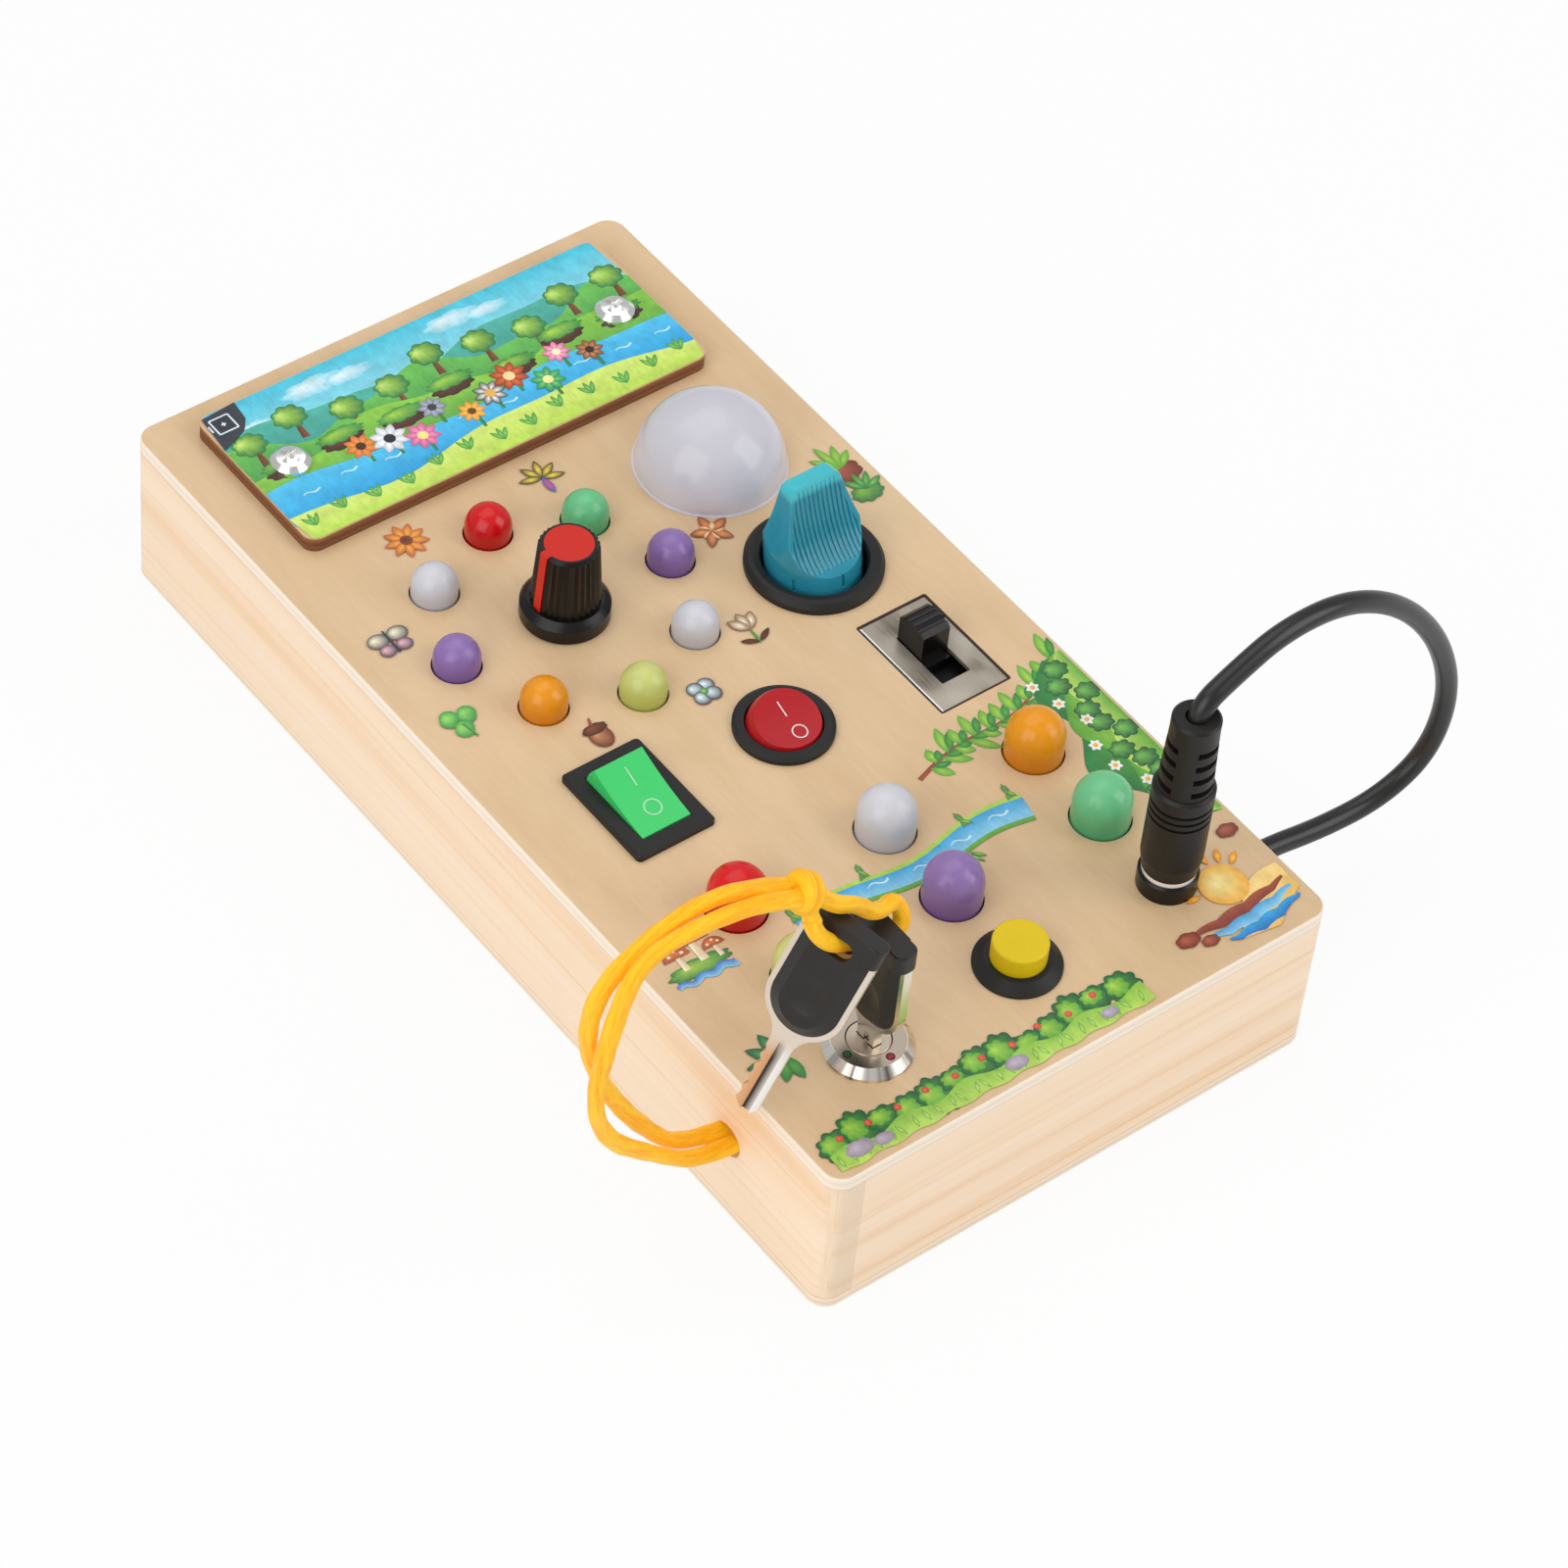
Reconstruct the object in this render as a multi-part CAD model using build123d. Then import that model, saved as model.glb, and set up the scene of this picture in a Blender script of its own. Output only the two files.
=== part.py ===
from build123d import *
from math import cos, pi, radians, sin, sqrt, tan
import os

# Wooden busy board: a flat plywood box with switches, lamps, a key lock and a
# patch lead for a small child to work. Millimetres. The origin is the middle of
# the underside, +Y runs to the battery end, +X to the side the lead leaves from.

# --- Driving dimensions -------------------------------------------------------

# Box: two plywood panels glued to four pine rails
case_width = 100.0
case_length = 193.0
case_height = 32.0
case_corner = 3.5
top_thickness = 2.5
base_thickness = 2.2
rail_thickness = 6.0
edge_easing = 0.5

# Places on the top panel, spread with its width and length
column_left = -0.291 * case_width
column_middle = 0.007 * case_width
column_right = 0.313 * case_width
row_slide = -0.0917 * case_length
row_rockers = -0.0889 * case_length
row_lamps_upper = -0.2269 * case_length
row_lamps_lower = -0.3155 * case_length
row_front = -0.4010 * case_length
oblong_x = -0.286 * case_width
ring_x = -0.138 * case_width
ring_y = 0.1197 * case_length
dome_x = 0.272 * case_width
dome_y = 0.1964 * case_length
toggle_x = 0.273 * case_width
toggle_y = 0.0482 * case_length

# Clearances
running_gap = 0.05
cutout_gap = 0.25
turning_gap = 0.4

# Battery bay
cover_width = 82.5
cover_length = 34.5
cover_thickness = 2.8
cover_corner = 2.5
cover_screw_spacing = 67.0
screw_radius = 1.5
screw_head_radius = 3.45
screw_head_height = 1.9
screw_length = 9.0
cross_slot = 0.9
battery_radius = 7.1
battery_length = 50.0
battery_nub = 1.2
contact_space = 3.2
contact_sheet = 0.5
contact_width = 11.0
contact_height = 12.0
contact_cone_foot = 4.0
contact_cone_tip = 2.4
holder_wall = 1.5
holder_gap = 0.9
holder_lip = 7.6
boss_radius = 3.2
boss_depth = 9.0

# Indicator lamps
ring_count = 8
ring_radius = 21.65
ring_lamp_radius = 4.0
ring_lamp_stand = 5.9
grid_lamp_radius = 5.0
grid_lamp_stand = 8.9
lamp_flange = 0.7
lamp_flange_height = 1.0
board_thickness = 1.6
board_margin = 5.0
board_corner = 1.0
chip_size = 5.0
chip_height = 1.2

# Dome lamp
dome_radius = 13.0
dome_wall = 1.2
dome_flange = 1.2
dome_flange_height = 1.2

# Rotary control: potentiometer with a two-part knob
pot_radius = 8.0
pot_depth = 8.0
pot_strip_width = 10.0
pot_strip_reach = 4.0
bushing_radius = 3.5
bushing_stand = 2.4
shaft_radius = 3.0
shaft_stand = 13.0
shaft_depth = 5.0
pot_nut_flats = 10.0
pot_nut_height = 1.8
knob_lift = 0.3
knob_flange_radius = 7.6
knob_flange_height = 3.4
knob_foot_radius = 6.0
knob_top_radius = 5.15
knob_height = 16.2
knob_flutes = 30
flute_depth = 0.25
cap_radius = 4.15
cap_thickness = 1.2
pointer_width = 1.7
pointer_depth = 0.8

# Lit toggle: ribbed lens rocking in a round bezel
toggle_bezel_radius = 11.85
toggle_bezel_height = 2.2
toggle_mouth_radius = 8.95
toggle_barrel_radius = 10.0
toggle_barrel_depth = 15.0
toggle_cavity_depth = 6.2
toggle_pivot_depth = 1.2
lens_radius = 8.2
lens_skirt_depth = 4.0
lens_skirt_height = 2.6
lens_ridge_length = 9.4
lens_ridge_width = 2.9
lens_height = 18.2
lens_ridge_round = 1.5
lens_shoulder = 3.0
lens_frame = 0.9
lens_rib_count = 16
lens_rib_depth = 0.3
lens_notch_width = 0.7
lens_notch_depth = 0.4
lens_notches = 6
toggle_tilt = 10.0

# Slide switch
slide_plate_width = 13.8
slide_plate_length = 22.2
slide_plate_thickness = 0.8
slide_plate_drop = 0.15
slide_slot_width = 5.9
slide_slot_length = 12.3
slide_body_depth = 7.0
slide_skirt_depth = 5.0
slide_finger_width = 5.5
slide_finger_length = 6.3
slide_finger_height = 6.2
slide_finger_ridges = 5
finger_crown = 1.3
finger_groove = 0.55
slide_foot_width = 7.6
slide_foot_length = 8.6
slide_foot_height = 1.4
slide_travel = 5.8

# Rockers
rocker_tilt = 15.0
rocker_pivot_depth = 0.1
rocker_bezel_height = 1.3
rocker_bezel_edge = 0.9
rocker_pin_radius = 0.7
rocker_gap = 0.15
rocker_barrel_depth = 13.0
rocker_cavity_depth = 6.0
rocker_button_drop = 2.4
rocker_button_rise = 3.4
rocker_dish = 0.6
round_bezel_radius = 8.5
round_bezel_slope = 0.7
round_barrel_radius = 7.6
round_button_radius = 6.4
rect_bezel_width = 15.3
rect_bezel_length = 21.3
rect_bezel_corner = 0.8
rect_bezel_chamfer = 0.35
rect_barrel_width = 13.0
rect_barrel_length = 19.2
rect_button_width = 9.5
rect_button_swing = 7.65

# Push button
push_bezel_radius = 7.3
push_bezel_top_radius = 5.6
push_bezel_height = 2.0
push_bezel_edge = 0.5
push_barrel_radius = 6.0
push_barrel_depth = 14.0
push_cap_radius = 4.6
push_cap_stand = 5.7
push_collar_radius = 5.2
push_collar_height = 1.5
push_collar_depth = 3.2
push_travel = 2.0
push_cap_round = 0.4
push_floor = 1.5
spring_wire = 0.35
spring_radius = 3.2
spring_turns = 5
panel_nut_flats = 14.0
panel_nut_height = 2.5

# Key lock
lock_bezel_radius = 7.4
lock_bezel_top_radius = 6.1
lock_bezel_edge = 0.6
lock_bezel_height = 2.0
lock_barrel_radius = 5.9
lock_barrel_depth = 19.0
core_radius = 3.7
core_length = 18.5
keyway_gap = 0.12
key_tip_gap = 0.3

# Keys
blade_width = 4.0
blade_length = 14.5
blade_point = 1.2
blade_point_back = 1.3
blade_point_front = 0.9
key_sheet = 1.6
key_stand = 3.0
blade_groove_width = 1.3
blade_groove_depth = 0.5
blade_groove_offset = 0.3
groove_run_out = 0.9
bitting = (0.5, 0.8, 0.4, 0.7, 0.5)
bitting_pitch = 2.2
bitting_start = 2.4
bow_radius = 6.7
bow_rim = 0.85
bow_neck = 2.0
bow_neck_round = 5.0
head_length = 20.9
head_thickness = 4.2
head_bevel = 1.9
head_cap_width = 13.6
head_cap_length = 3.7
head_cap_round = 1.7
head_cap_easing = 0.4
head_slot_length = 5.4
head_slot_width = 3.3
head_slot_drop = 3.5
thumb_recess_radius = 3.4
thumb_recess_depth = 0.4
thumb_recess_rise = 1.7

# Key cord and its knot
cord_radius = 1.4
cord_hole_radius = 3.2
cord_hole_y = -70.8
cord_hole_z = 16.8
knot_radius = 3.5
knot_length = 4.8
knot_round = 1.5
tail_radius = 2.9
tail_end_radius = 2.1
tail_round = 0.8

# Lead: jack, plug and cable
jack_collar_radius = 5.0
jack_collar_height = 3.6
jack_barrel_radius = 4.0
jack_barrel_depth = 12.0
jack_bore_radius = 2.8
jack_bore_depth = 10.0
jack_pin_radius = 0.6
plug_barrel_radius = 2.75
plug_barrel_length = 9.2
plug_barrel_wall = 0.9
plug_ring_radius = 4.5
plug_ring_height = 1.0
plug_body_radius = 5.1
plug_foot_radius = 4.6
plug_body_length = 19.0
plug_relief_foot = 4.5
plug_relief_tip = 4.0
plug_relief_length = 15.2
plug_foot_height = 3.0
plug_edge = 0.5
plug_rings = 3
plug_ring_start = 3.4
plug_ring_pitch = 1.5
plug_ring_width = 0.6
plug_ring_depth = 0.3
relief_band = 3.0
relief_edge = 0.4
relief_slots = 4
relief_slot_start = 0.9
relief_slot_pitch = 2.9
relief_slot_height = 1.2
relief_rib = 1.6
relief_core = 0.6
relief_turn = -52.0
cable_radius = 1.85
cable_socket = 3.4
cable_hole_y = -71.0
cable_hole_z = 16.0

# --- Levels worked out from the sizes above -----------------------------------

deck = case_height
deck_under = deck - top_thickness
base_top = base_thickness
lamp_seat = deck_under - lamp_flange_height
inner_x = case_width / 2 - rail_thickness
inner_y = case_length / 2 - rail_thickness
lock_face = deck + lock_bezel_height


# --- Shared shapes ------------------------------------------------------------

def post(radius, low, high):
    """Round post on the Z axis between two heights."""
    return Pos(0, 0, low) * Cylinder(radius, high - low, align=(Align.CENTER, Align.CENTER, Align.MIN))


def slab(size_x, size_y, low, high, corner=0.0):
    """Rectangular slab on the Z axis, its upright corners rounded."""
    outline = RectangleRounded(size_x, size_y, corner) if corner else Rectangle(size_x, size_y)
    return Pos(0, 0, low) * extrude(outline, high - low)


def turned(*profile):
    """Solid of revolution about Z from a closed (radius, height) outline."""
    outline = make_face(Plane.XZ * Polyline(*profile, close=True))
    return revolve(outline, Axis.Z)


def section(plane, edges):
    """Face bounded by a closed chain of edges, laid on a drawing plane."""
    return plane * make_face(Curve() + edges)


def hexagon_nut(flats, height, bore, low):
    """Hexagon nut with its lower face at the given height."""
    outline = RegularPolygon(flats / 2, 6, major_radius=False) - Circle(bore)
    return Pos(0, 0, low) * extrude(outline, height)


def cross_pin(radius, reach, height):
    """Pin along X through the Z axis, reaching the same way both sides."""
    return Pos(0, 0, height) * Rot(0, 90, 0) * Cylinder(radius, 2 * reach)


def bent_tube(points, radius):
    """Tube of straight runs joined by arcs that use 0.45 of the shorter run."""
    radii = bend_radii(points)
    path = FilletPolyline(*points, radius=radii)
    start = Plane(origin=path @ 0, z_dir=path % 0)
    tube = sweep(start * Circle(radius), path=path)
    print(f"  length {path.length:.1f}, radii {[round(r, 1) for r in radii]}, "
          f"volume share {tube.volume / (pi * radius ** 2 * path.length):.4f}")
    return tube


def bend_radii(points):
    """Arc radius at each inner point of a route."""
    spots = [Vector(*p) for p in points]
    radii = []
    for before, here, after in zip(spots, spots[1:], spots[2:]):
        turn = (here - before).get_angle(after - here)
        shorter = min((here - before).length, (after - here).length)
        radii.append(0.45 * shorter / tan(radians(turn) / 2))
    return radii


# --- Box ----------------------------------------------------------------------

def case_outline(low, high):
    return slab(case_width, case_length, low, high, case_corner)


def base_panel():
    """Plywood base, glued under the rails, with its lower edge eased."""
    panel = case_outline(0, base_thickness)
    return fillet(panel.faces().sort_by(Axis.Z)[0].edges(), edge_easing)


def long_rail(side):
    """Pine rail down one long side, its two outer corners rounded with the box."""
    strip = Pos(side * (case_width - rail_thickness) / 2, 0, 0) * slab(
        rail_thickness, case_length, base_top, deck_under)
    return case_outline(base_top, deck_under) & strip


def left_rail():
    """Left rail, bored for both strands of the key cord."""
    bore = Pos(-case_width / 2, cord_hole_y, cord_hole_z) * Rot(0, 90, 0) * Cylinder(
        cord_hole_radius, 3 * rail_thickness)
    return long_rail(-1) - bore


def right_rail():
    """Right rail, bored for the cable of the patch lead."""
    bore = Pos(case_width / 2, cable_hole_y, cable_hole_z) * Rot(0, 90, 0) * Cylinder(
        cable_radius + cutout_gap, 3 * rail_thickness)
    return long_rail(1) - bore


def cross_rail(side):
    """Short pine rail butted between the long ones."""
    return Pos(0, side * (case_length - rail_thickness) / 2, 0) * slab(
        2 * inner_x, rail_thickness, base_top, deck_under)


def ring_spots():
    """Lamp places round the knob, from the battery end and clockwise."""
    for step in range(ring_count):
        angle = radians(90 - 360 * step / ring_count)
        yield ring_x + ring_radius * cos(angle), ring_y + ring_radius * sin(angle)


def grid_spots():
    """Lamp places in the two rows of three, right to left."""
    for column in (column_right, column_middle, column_left):
        for row in (row_lamps_upper, row_lamps_lower):
            yield column, row


def top_panel():
    """Plywood top with a cut-out for every lamp, switch and holder."""
    panel = case_outline(deck_under, deck)
    panel = fillet(panel.faces().sort_by(Axis.Z)[-1].edges(), edge_easing)
    holes = Sketch()
    for x, y in ring_spots():
        holes += Pos(x, y) * Circle(ring_lamp_radius + cutout_gap)
    for x, y in grid_spots():
        holes += Pos(x, y) * Circle(grid_lamp_radius + cutout_gap)
    holes += Pos(dome_x, dome_y) * Circle(dome_radius + cutout_gap)
    holes += Pos(ring_x, ring_y) * Circle(bushing_radius + cutout_gap)
    holes += Pos(toggle_x, toggle_y) * Circle(toggle_barrel_radius + cutout_gap)
    holes += Pos(column_right, row_slide) * Rectangle(
        slide_plate_width + 2 * cutout_gap, slide_plate_length + 2 * cutout_gap)
    holes += Pos(column_middle, row_rockers) * Circle(round_barrel_radius + cutout_gap)
    holes += Pos(oblong_x, row_rockers) * Rectangle(
        rect_barrel_width + 2 * cutout_gap, rect_barrel_length + 2 * cutout_gap)
    holes += Pos(column_middle, row_front) * Circle(push_barrel_radius + cutout_gap)
    holes += Pos(column_left, row_front) * Circle(lock_barrel_radius + cutout_gap)
    holes += Pos(column_right, row_front) * Circle(jack_barrel_radius + cutout_gap)
    holes += Pos(0, cover_y) * Rectangle(bay_length, bay_width)
    for side in (-1, 1):
        holes += Pos(side * cover_screw_spacing / 2, cover_y) * Circle(screw_radius + cutout_gap)
    return panel - Pos(0, 0, deck_under) * extrude(holes, top_thickness)


# --- Battery bay --------------------------------------------------------------

bay_length = battery_length + battery_nub + 2 * contact_space
bay_width = 4 * battery_radius + 4 * running_gap
cover_y = inner_y - holder_gap - holder_wall - bay_width / 2
battery_axis = deck_under - battery_radius - running_gap
holder_bottom = battery_axis - battery_radius - running_gap - holder_wall


def battery_cover():
    """Loose plywood cover laid over the bay, drilled for its two screws."""
    plate = slab(cover_width, cover_length, deck, deck + cover_thickness, cover_corner)
    for side in (-1, 1):
        plate -= Pos(side * cover_screw_spacing / 2, 0, 0) * post(
            screw_radius + running_gap, deck, deck + cover_thickness)
    return Pos(0, cover_y, 0) * plate


def cover_screws():
    """Two pan-head screws with crossed slots."""
    seat = deck + cover_thickness
    head = turned((0, seat), (screw_head_radius, seat),
                  (screw_head_radius, seat + 0.45 * screw_head_height),
                  (0.72 * screw_head_radius, seat + 0.88 * screw_head_height),
                  (0, seat + screw_head_height))
    screw = head + post(screw_radius, seat - screw_length, seat)
    slot = Box(1.1 * screw_head_radius, cross_slot, screw_head_height)
    slot = Pos(0, 0, seat + 0.9 * screw_head_height) * slot
    for turn in (20, 110):
        screw -= Rot(0, 0, turn) * slot
    pair = [Pos(side * cover_screw_spacing / 2, cover_y, 0) * screw for side in (-1, 1)]
    return pair[0] + pair[1]


def battery_holder():
    """Moulded tray under the bay, with a lip and a screw boss at each end."""
    tray = slab(bay_length + 2 * holder_wall, bay_width + 2 * holder_wall, holder_bottom, deck_under)
    lip = slab(bay_length + 2 * holder_wall + 2 * holder_lip, bay_width + 2 * holder_wall,
               deck_under - holder_wall, deck_under)
    tray += lip
    for side in (-1, 1):
        boss_x = side * cover_screw_spacing / 2
        tray += Pos(boss_x, 0, 0) * post(boss_radius, deck_under - boss_depth, deck_under)
    tray -= slab(bay_length, bay_width, holder_bottom + holder_wall, deck_under)
    for side in (-1, 1):
        boss_x = side * cover_screw_spacing / 2
        tray -= Pos(boss_x, 0, 0) * post(screw_radius + running_gap, deck_under - boss_depth, deck_under)
    return Pos(0, cover_y, 0) * tray


def battery():
    """One AA cell lying along X with its nub towards +X."""
    half = battery_length / 2
    nub = half + battery_nub
    cell = turned((0, -half), (battery_radius - 0.6, -half), (battery_radius, -half + 0.6),
                  (battery_radius, half - 0.6), (battery_radius - 0.6, half),
                  (2.75, half), (2.75, nub), (0, nub))
    return Pos(-battery_nub / 2, 0, 0) * Rot(0, 90, 0) * cell


def batteries():
    """Two AA cells side by side, head to tail."""
    near = Pos(0, cover_y - battery_radius - running_gap, battery_axis) * battery()
    far = Pos(0, cover_y + battery_radius + running_gap, battery_axis) * Rot(0, 0, 180) * battery()
    return near + far


def battery_contacts():
    """Four sheet contacts, each pressed out into a cone that meets its cell."""
    wall = bay_length / 2
    reach = battery_length / 2 + battery_nub / 2
    height = wall - contact_sheet - reach
    cone = turned((0, 0), (contact_cone_foot, 0), (contact_cone_tip, height), (0, height))
    contacts = []
    for side in (-1, 1):
        for lane in (-1, 1):
            sheet = Box(contact_sheet, contact_width, contact_height)
            sheet = Pos(side * (wall - contact_sheet / 2), 0, 0) * sheet
            tip = Pos(side * (wall - contact_sheet), 0, 0) * Rot(0, -side * 90, 0) * cone
            contacts.append(Pos(0, cover_y + lane * (battery_radius + running_gap), battery_axis)
                            * (sheet + tip))
    return contacts[0] + contacts[1] + contacts[2] + contacts[3]


# --- Lamps --------------------------------------------------------------------

def lamp(radius, stand):
    """Coloured bullet lamp with a flange that stops under the panel."""
    rim = radius + lamp_flange
    shoulder = deck + stand - radius
    outline = Polyline((0, deck + stand - radius), (0, lamp_seat), (rim, lamp_seat), (rim, deck_under),
                       (radius, deck_under), (radius, shoulder))
    crown = CenterArc((0, shoulder), radius, 0, 90)
    closing = Line((0, shoulder + radius), (0, shoulder))
    return revolve(section(Plane.XZ, [outline, crown, closing]), Axis.Z)


def circuit_boards():
    """Ring board, grid board and dome board that the lamps are soldered to."""
    low = lamp_seat - board_thickness
    ring = post(ring_radius + board_margin, low, lamp_seat)
    ring -= post(pot_radius + cutout_gap * 4, low, lamp_seat)
    ring = Pos(ring_x, ring_y, 0) * ring
    grid = slab(column_right - column_left + 2 * board_margin,
                row_lamps_upper - row_lamps_lower + 2 * board_margin, low, lamp_seat, board_corner)
    grid = Pos((column_left + column_right) / 2, (row_lamps_upper + row_lamps_lower) / 2, 0) * grid
    seat = deck_under - dome_flange_height
    round_board = post(dome_radius + dome_flange, seat - board_thickness, seat)
    round_board += slab(chip_size, chip_size, seat, seat + chip_height)
    return ring + grid + Pos(dome_x, dome_y, 0) * round_board


def lamp_dome():
    """Hollow white half-ball with a flange under the panel."""
    inner = dome_radius - dome_wall
    rim = dome_radius + dome_flange
    seat = deck_under - dome_flange_height
    outside = Polyline((inner, deck), (inner, seat), (rim, seat), (rim, deck_under),
                       (dome_radius, deck_under), (dome_radius, deck))
    edges = [outside, CenterArc((0, deck), dome_radius, 0, 90),
             Line((0, deck + dome_radius), (0, deck + inner)), CenterArc((0, deck), inner, 0, 90)]
    shell = revolve(section(Plane.XZ, edges), Axis.Z)
    return Pos(dome_x, dome_y, 0) * shell


# --- Rotary control -----------------------------------------------------------

def pot_body():
    """Potentiometer can with its terminal strip, and a threaded bushing through the panel."""
    body = post(pot_radius, deck_under - pot_depth, deck_under)
    body += post(bushing_radius, deck_under, deck + bushing_stand)
    strip = slab(pot_strip_width, 2 * pot_strip_reach, deck_under - pot_depth,
                 deck_under - pot_depth + board_thickness)
    body += Pos(0, -pot_radius, 0) * strip
    body -= post(shaft_radius + running_gap, deck_under - shaft_depth, deck + bushing_stand)
    return Pos(ring_x, ring_y, 0) * body


def pot_nut():
    nut = hexagon_nut(pot_nut_flats, pot_nut_height, bushing_radius, deck)
    return Pos(ring_x, ring_y, 0) * nut


def pot_shaft():
    """Plain shaft that the knob is pressed on."""
    shaft = post(shaft_radius, deck_under - shaft_depth + running_gap, deck + shaft_stand)
    return Pos(ring_x, ring_y, 0) * shaft


def fluted_outline(radius):
    """Outline of the knob's grip: shallow flutes all round."""
    spots = []
    for step in range(2 * knob_flutes):
        angle = pi * step / knob_flutes
        reach = radius - flute_depth * (step % 2)
        spots.append((reach * cos(angle), reach * sin(angle)))
    return Polygon(*spots, align=None)


def knob_insert():
    """Red insert: a round cap with a pointer bar down the left of the grip."""
    top = deck + knob_height
    foot = deck + knob_flange_height
    lean = knob_foot_radius - knob_top_radius
    cap = post(cap_radius, top - cap_thickness, top)
    cap += Pos(-knob_top_radius / 2, 0, 0) * slab(knob_top_radius, pointer_width, top - cap_thickness, top)
    bar = Polyline((-knob_top_radius, top), (-knob_foot_radius, foot),
                   (-knob_foot_radius + pointer_depth, foot), (-knob_top_radius + pointer_depth, top),
                   close=True)
    cap += extrude(make_face(Plane.XZ * bar), pointer_width / 2, both=True)
    return cap


def knob_body():
    """Black knob: flange, tapering fluted grip and a hollow over the nut."""
    foot = deck + knob_flange_height
    top = deck + knob_height
    low = deck + knob_lift
    flange = turned((0, low), (knob_flange_radius, low), (knob_flange_radius, foot - 0.6),
                    (knob_flange_radius - 0.5, foot), (knob_foot_radius + 0.4, foot + 0.7), (0, foot + 0.7))
    grip = loft([Pos(0, 0, foot) * fluted_outline(knob_foot_radius),
                 Pos(0, 0, top - 0.6) * fluted_outline(knob_top_radius)], ruled=True)
    crown = turned((0, top - 0.6), (knob_top_radius - flute_depth, top - 0.6),
                   (knob_top_radius - flute_depth - 0.35, top), (0, top))
    knob = flange + grip + crown
    knob -= post(pot_nut_flats / sqrt(3) + turning_gap, low, deck + bushing_stand + turning_gap)
    knob -= post(shaft_radius, low, deck + shaft_stand)
    return Pos(ring_x, ring_y, 0) * (knob - knob_insert())


def knob_cap():
    return Pos(ring_x, ring_y, 0) * knob_insert()


# --- Lit toggle ---------------------------------------------------------------

toggle_pivot = deck - toggle_pivot_depth
toggle_pin_reach = lens_radius + 1.4


def toggle_housing():
    """Black bezel ring and barrel with a round well for the lens."""
    height = deck + toggle_bezel_height
    crest = (toggle_bezel_radius + toggle_mouth_radius) / 2
    ring = turned((toggle_mouth_radius, deck), (toggle_bezel_radius, deck),
                  (toggle_bezel_radius, deck + 0.5 * toggle_bezel_height),
                  (toggle_bezel_radius - 0.7, height - 0.25), (crest, height),
                  (toggle_mouth_radius + 0.35, height - 0.2), (toggle_mouth_radius, height - 0.7))
    barrel = post(toggle_barrel_radius, deck - toggle_barrel_depth, deck)
    barrel -= post(toggle_mouth_radius, deck - toggle_cavity_depth, deck)
    housing = ring + barrel
    housing -= cross_pin(rocker_pin_radius + running_gap, toggle_pin_reach + running_gap, toggle_pivot)
    return Pos(toggle_x, toggle_y, 0) * housing


def flank(inset):
    """Side view of the lens on the Y-Z plane: an upright skirt, a hollow
    flare and a steep face up to the ridge, set in by the given amount."""
    half_ridge = lens_ridge_width / 2 - inset * 0.5
    foot = lens_radius - inset
    top = deck + lens_height - inset * 0.5
    skirt = deck + lens_skirt_height
    waist = (0.45 * lens_radius - inset, skirt + 0.34 * (top - skirt))
    right = Spline((foot, skirt), waist, (half_ridge, top),
                   tangents=((-1.0, 0.5), (-0.12, 1.0)))
    left = Spline((-half_ridge, top), (-waist[0], waist[1]), (-foot, skirt),
                  tangents=((-0.12, -1.0), (-1.0, -0.5)))
    low = deck - lens_skirt_depth
    outline = [Line((foot, low), (foot, skirt)), right, Line((half_ridge, top), (-half_ridge, top)), left,
               Line((-foot, skirt), (-foot, low)), Line((-foot, low), (foot, low))]
    return section(Plane.YZ, outline)


def lens_front():
    """Front outline of the lens: upright skirt, leaning sides and a round-cornered ridge."""
    low = deck - lens_skirt_depth
    top = deck + lens_height
    shoulder = deck + lens_skirt_height + lens_shoulder
    half = lens_ridge_length / 2
    outline = Polygon((-lens_radius, low), (lens_radius, low), (lens_radius, shoulder), (half, top),
                      (-half, top), (-lens_radius, shoulder), align=None)
    corners = outline.vertices().sort_by(Axis.Y)
    outline = fillet(corners[-2:], lens_ridge_round)
    corners = outline.vertices().filter_by_position(Axis.Y, shoulder - 0.01, shoulder + 0.01)
    return fillet(corners, lens_shoulder)


def lens_panels():
    """Sunk panel in each flank, inside a plain frame and filled with upright ribs."""
    window = offset(lens_front(), -lens_frame)
    skirt = deck + lens_skirt_height
    window -= Pos(0, skirt + lens_frame - lens_height) * Rectangle(4 * lens_radius, 2 * lens_height)
    panels = extrude(Plane.XZ * window, lens_radius, both=True)
    panels -= extrude(flank(lens_rib_depth), lens_radius, both=True)
    pitch = 2 * (lens_radius - lens_frame) / lens_rib_count
    for step in range(lens_rib_count):
        place = (step - (lens_rib_count - 1) / 2) * pitch
        panels -= Pos(place, 0, 0) * extrude(flank(0), pitch / 4, both=True)
    return panels


def toggle_lens():
    """Translucent lens: a ribbed wedge on a round, notched skirt."""
    low = deck - lens_skirt_depth
    skirt = deck + lens_skirt_height
    lens = extrude(flank(0), lens_radius, both=True)
    lens = lens & extrude(Plane.XZ * lens_front(), lens_radius, both=True)
    lens = lens & post(lens_radius, low, deck + lens_height)
    lens -= lens_panels()
    lens += post(lens_radius, low, skirt)
    for step in range(lens_notches):
        notch = Pos(lens_radius, 0, 0) * slab(2 * lens_notch_depth, lens_notch_width, deck, skirt)
        lens -= Rot(0, 0, 360 * (step + 0.5) / lens_notches) * notch
    lens += cross_pin(rocker_pin_radius, toggle_pin_reach, toggle_pivot)
    swing = Pos(0, 0, toggle_pivot) * Rot(-toggle_tilt, 0, 0) * Pos(0, 0, -toggle_pivot)
    return Pos(toggle_x, toggle_y, 0) * swing * lens


# --- Slide switch -------------------------------------------------------------

plate_top = deck - slide_plate_drop
plate_under = plate_top - slide_plate_thickness
finger_rest = slide_travel / 2


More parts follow.
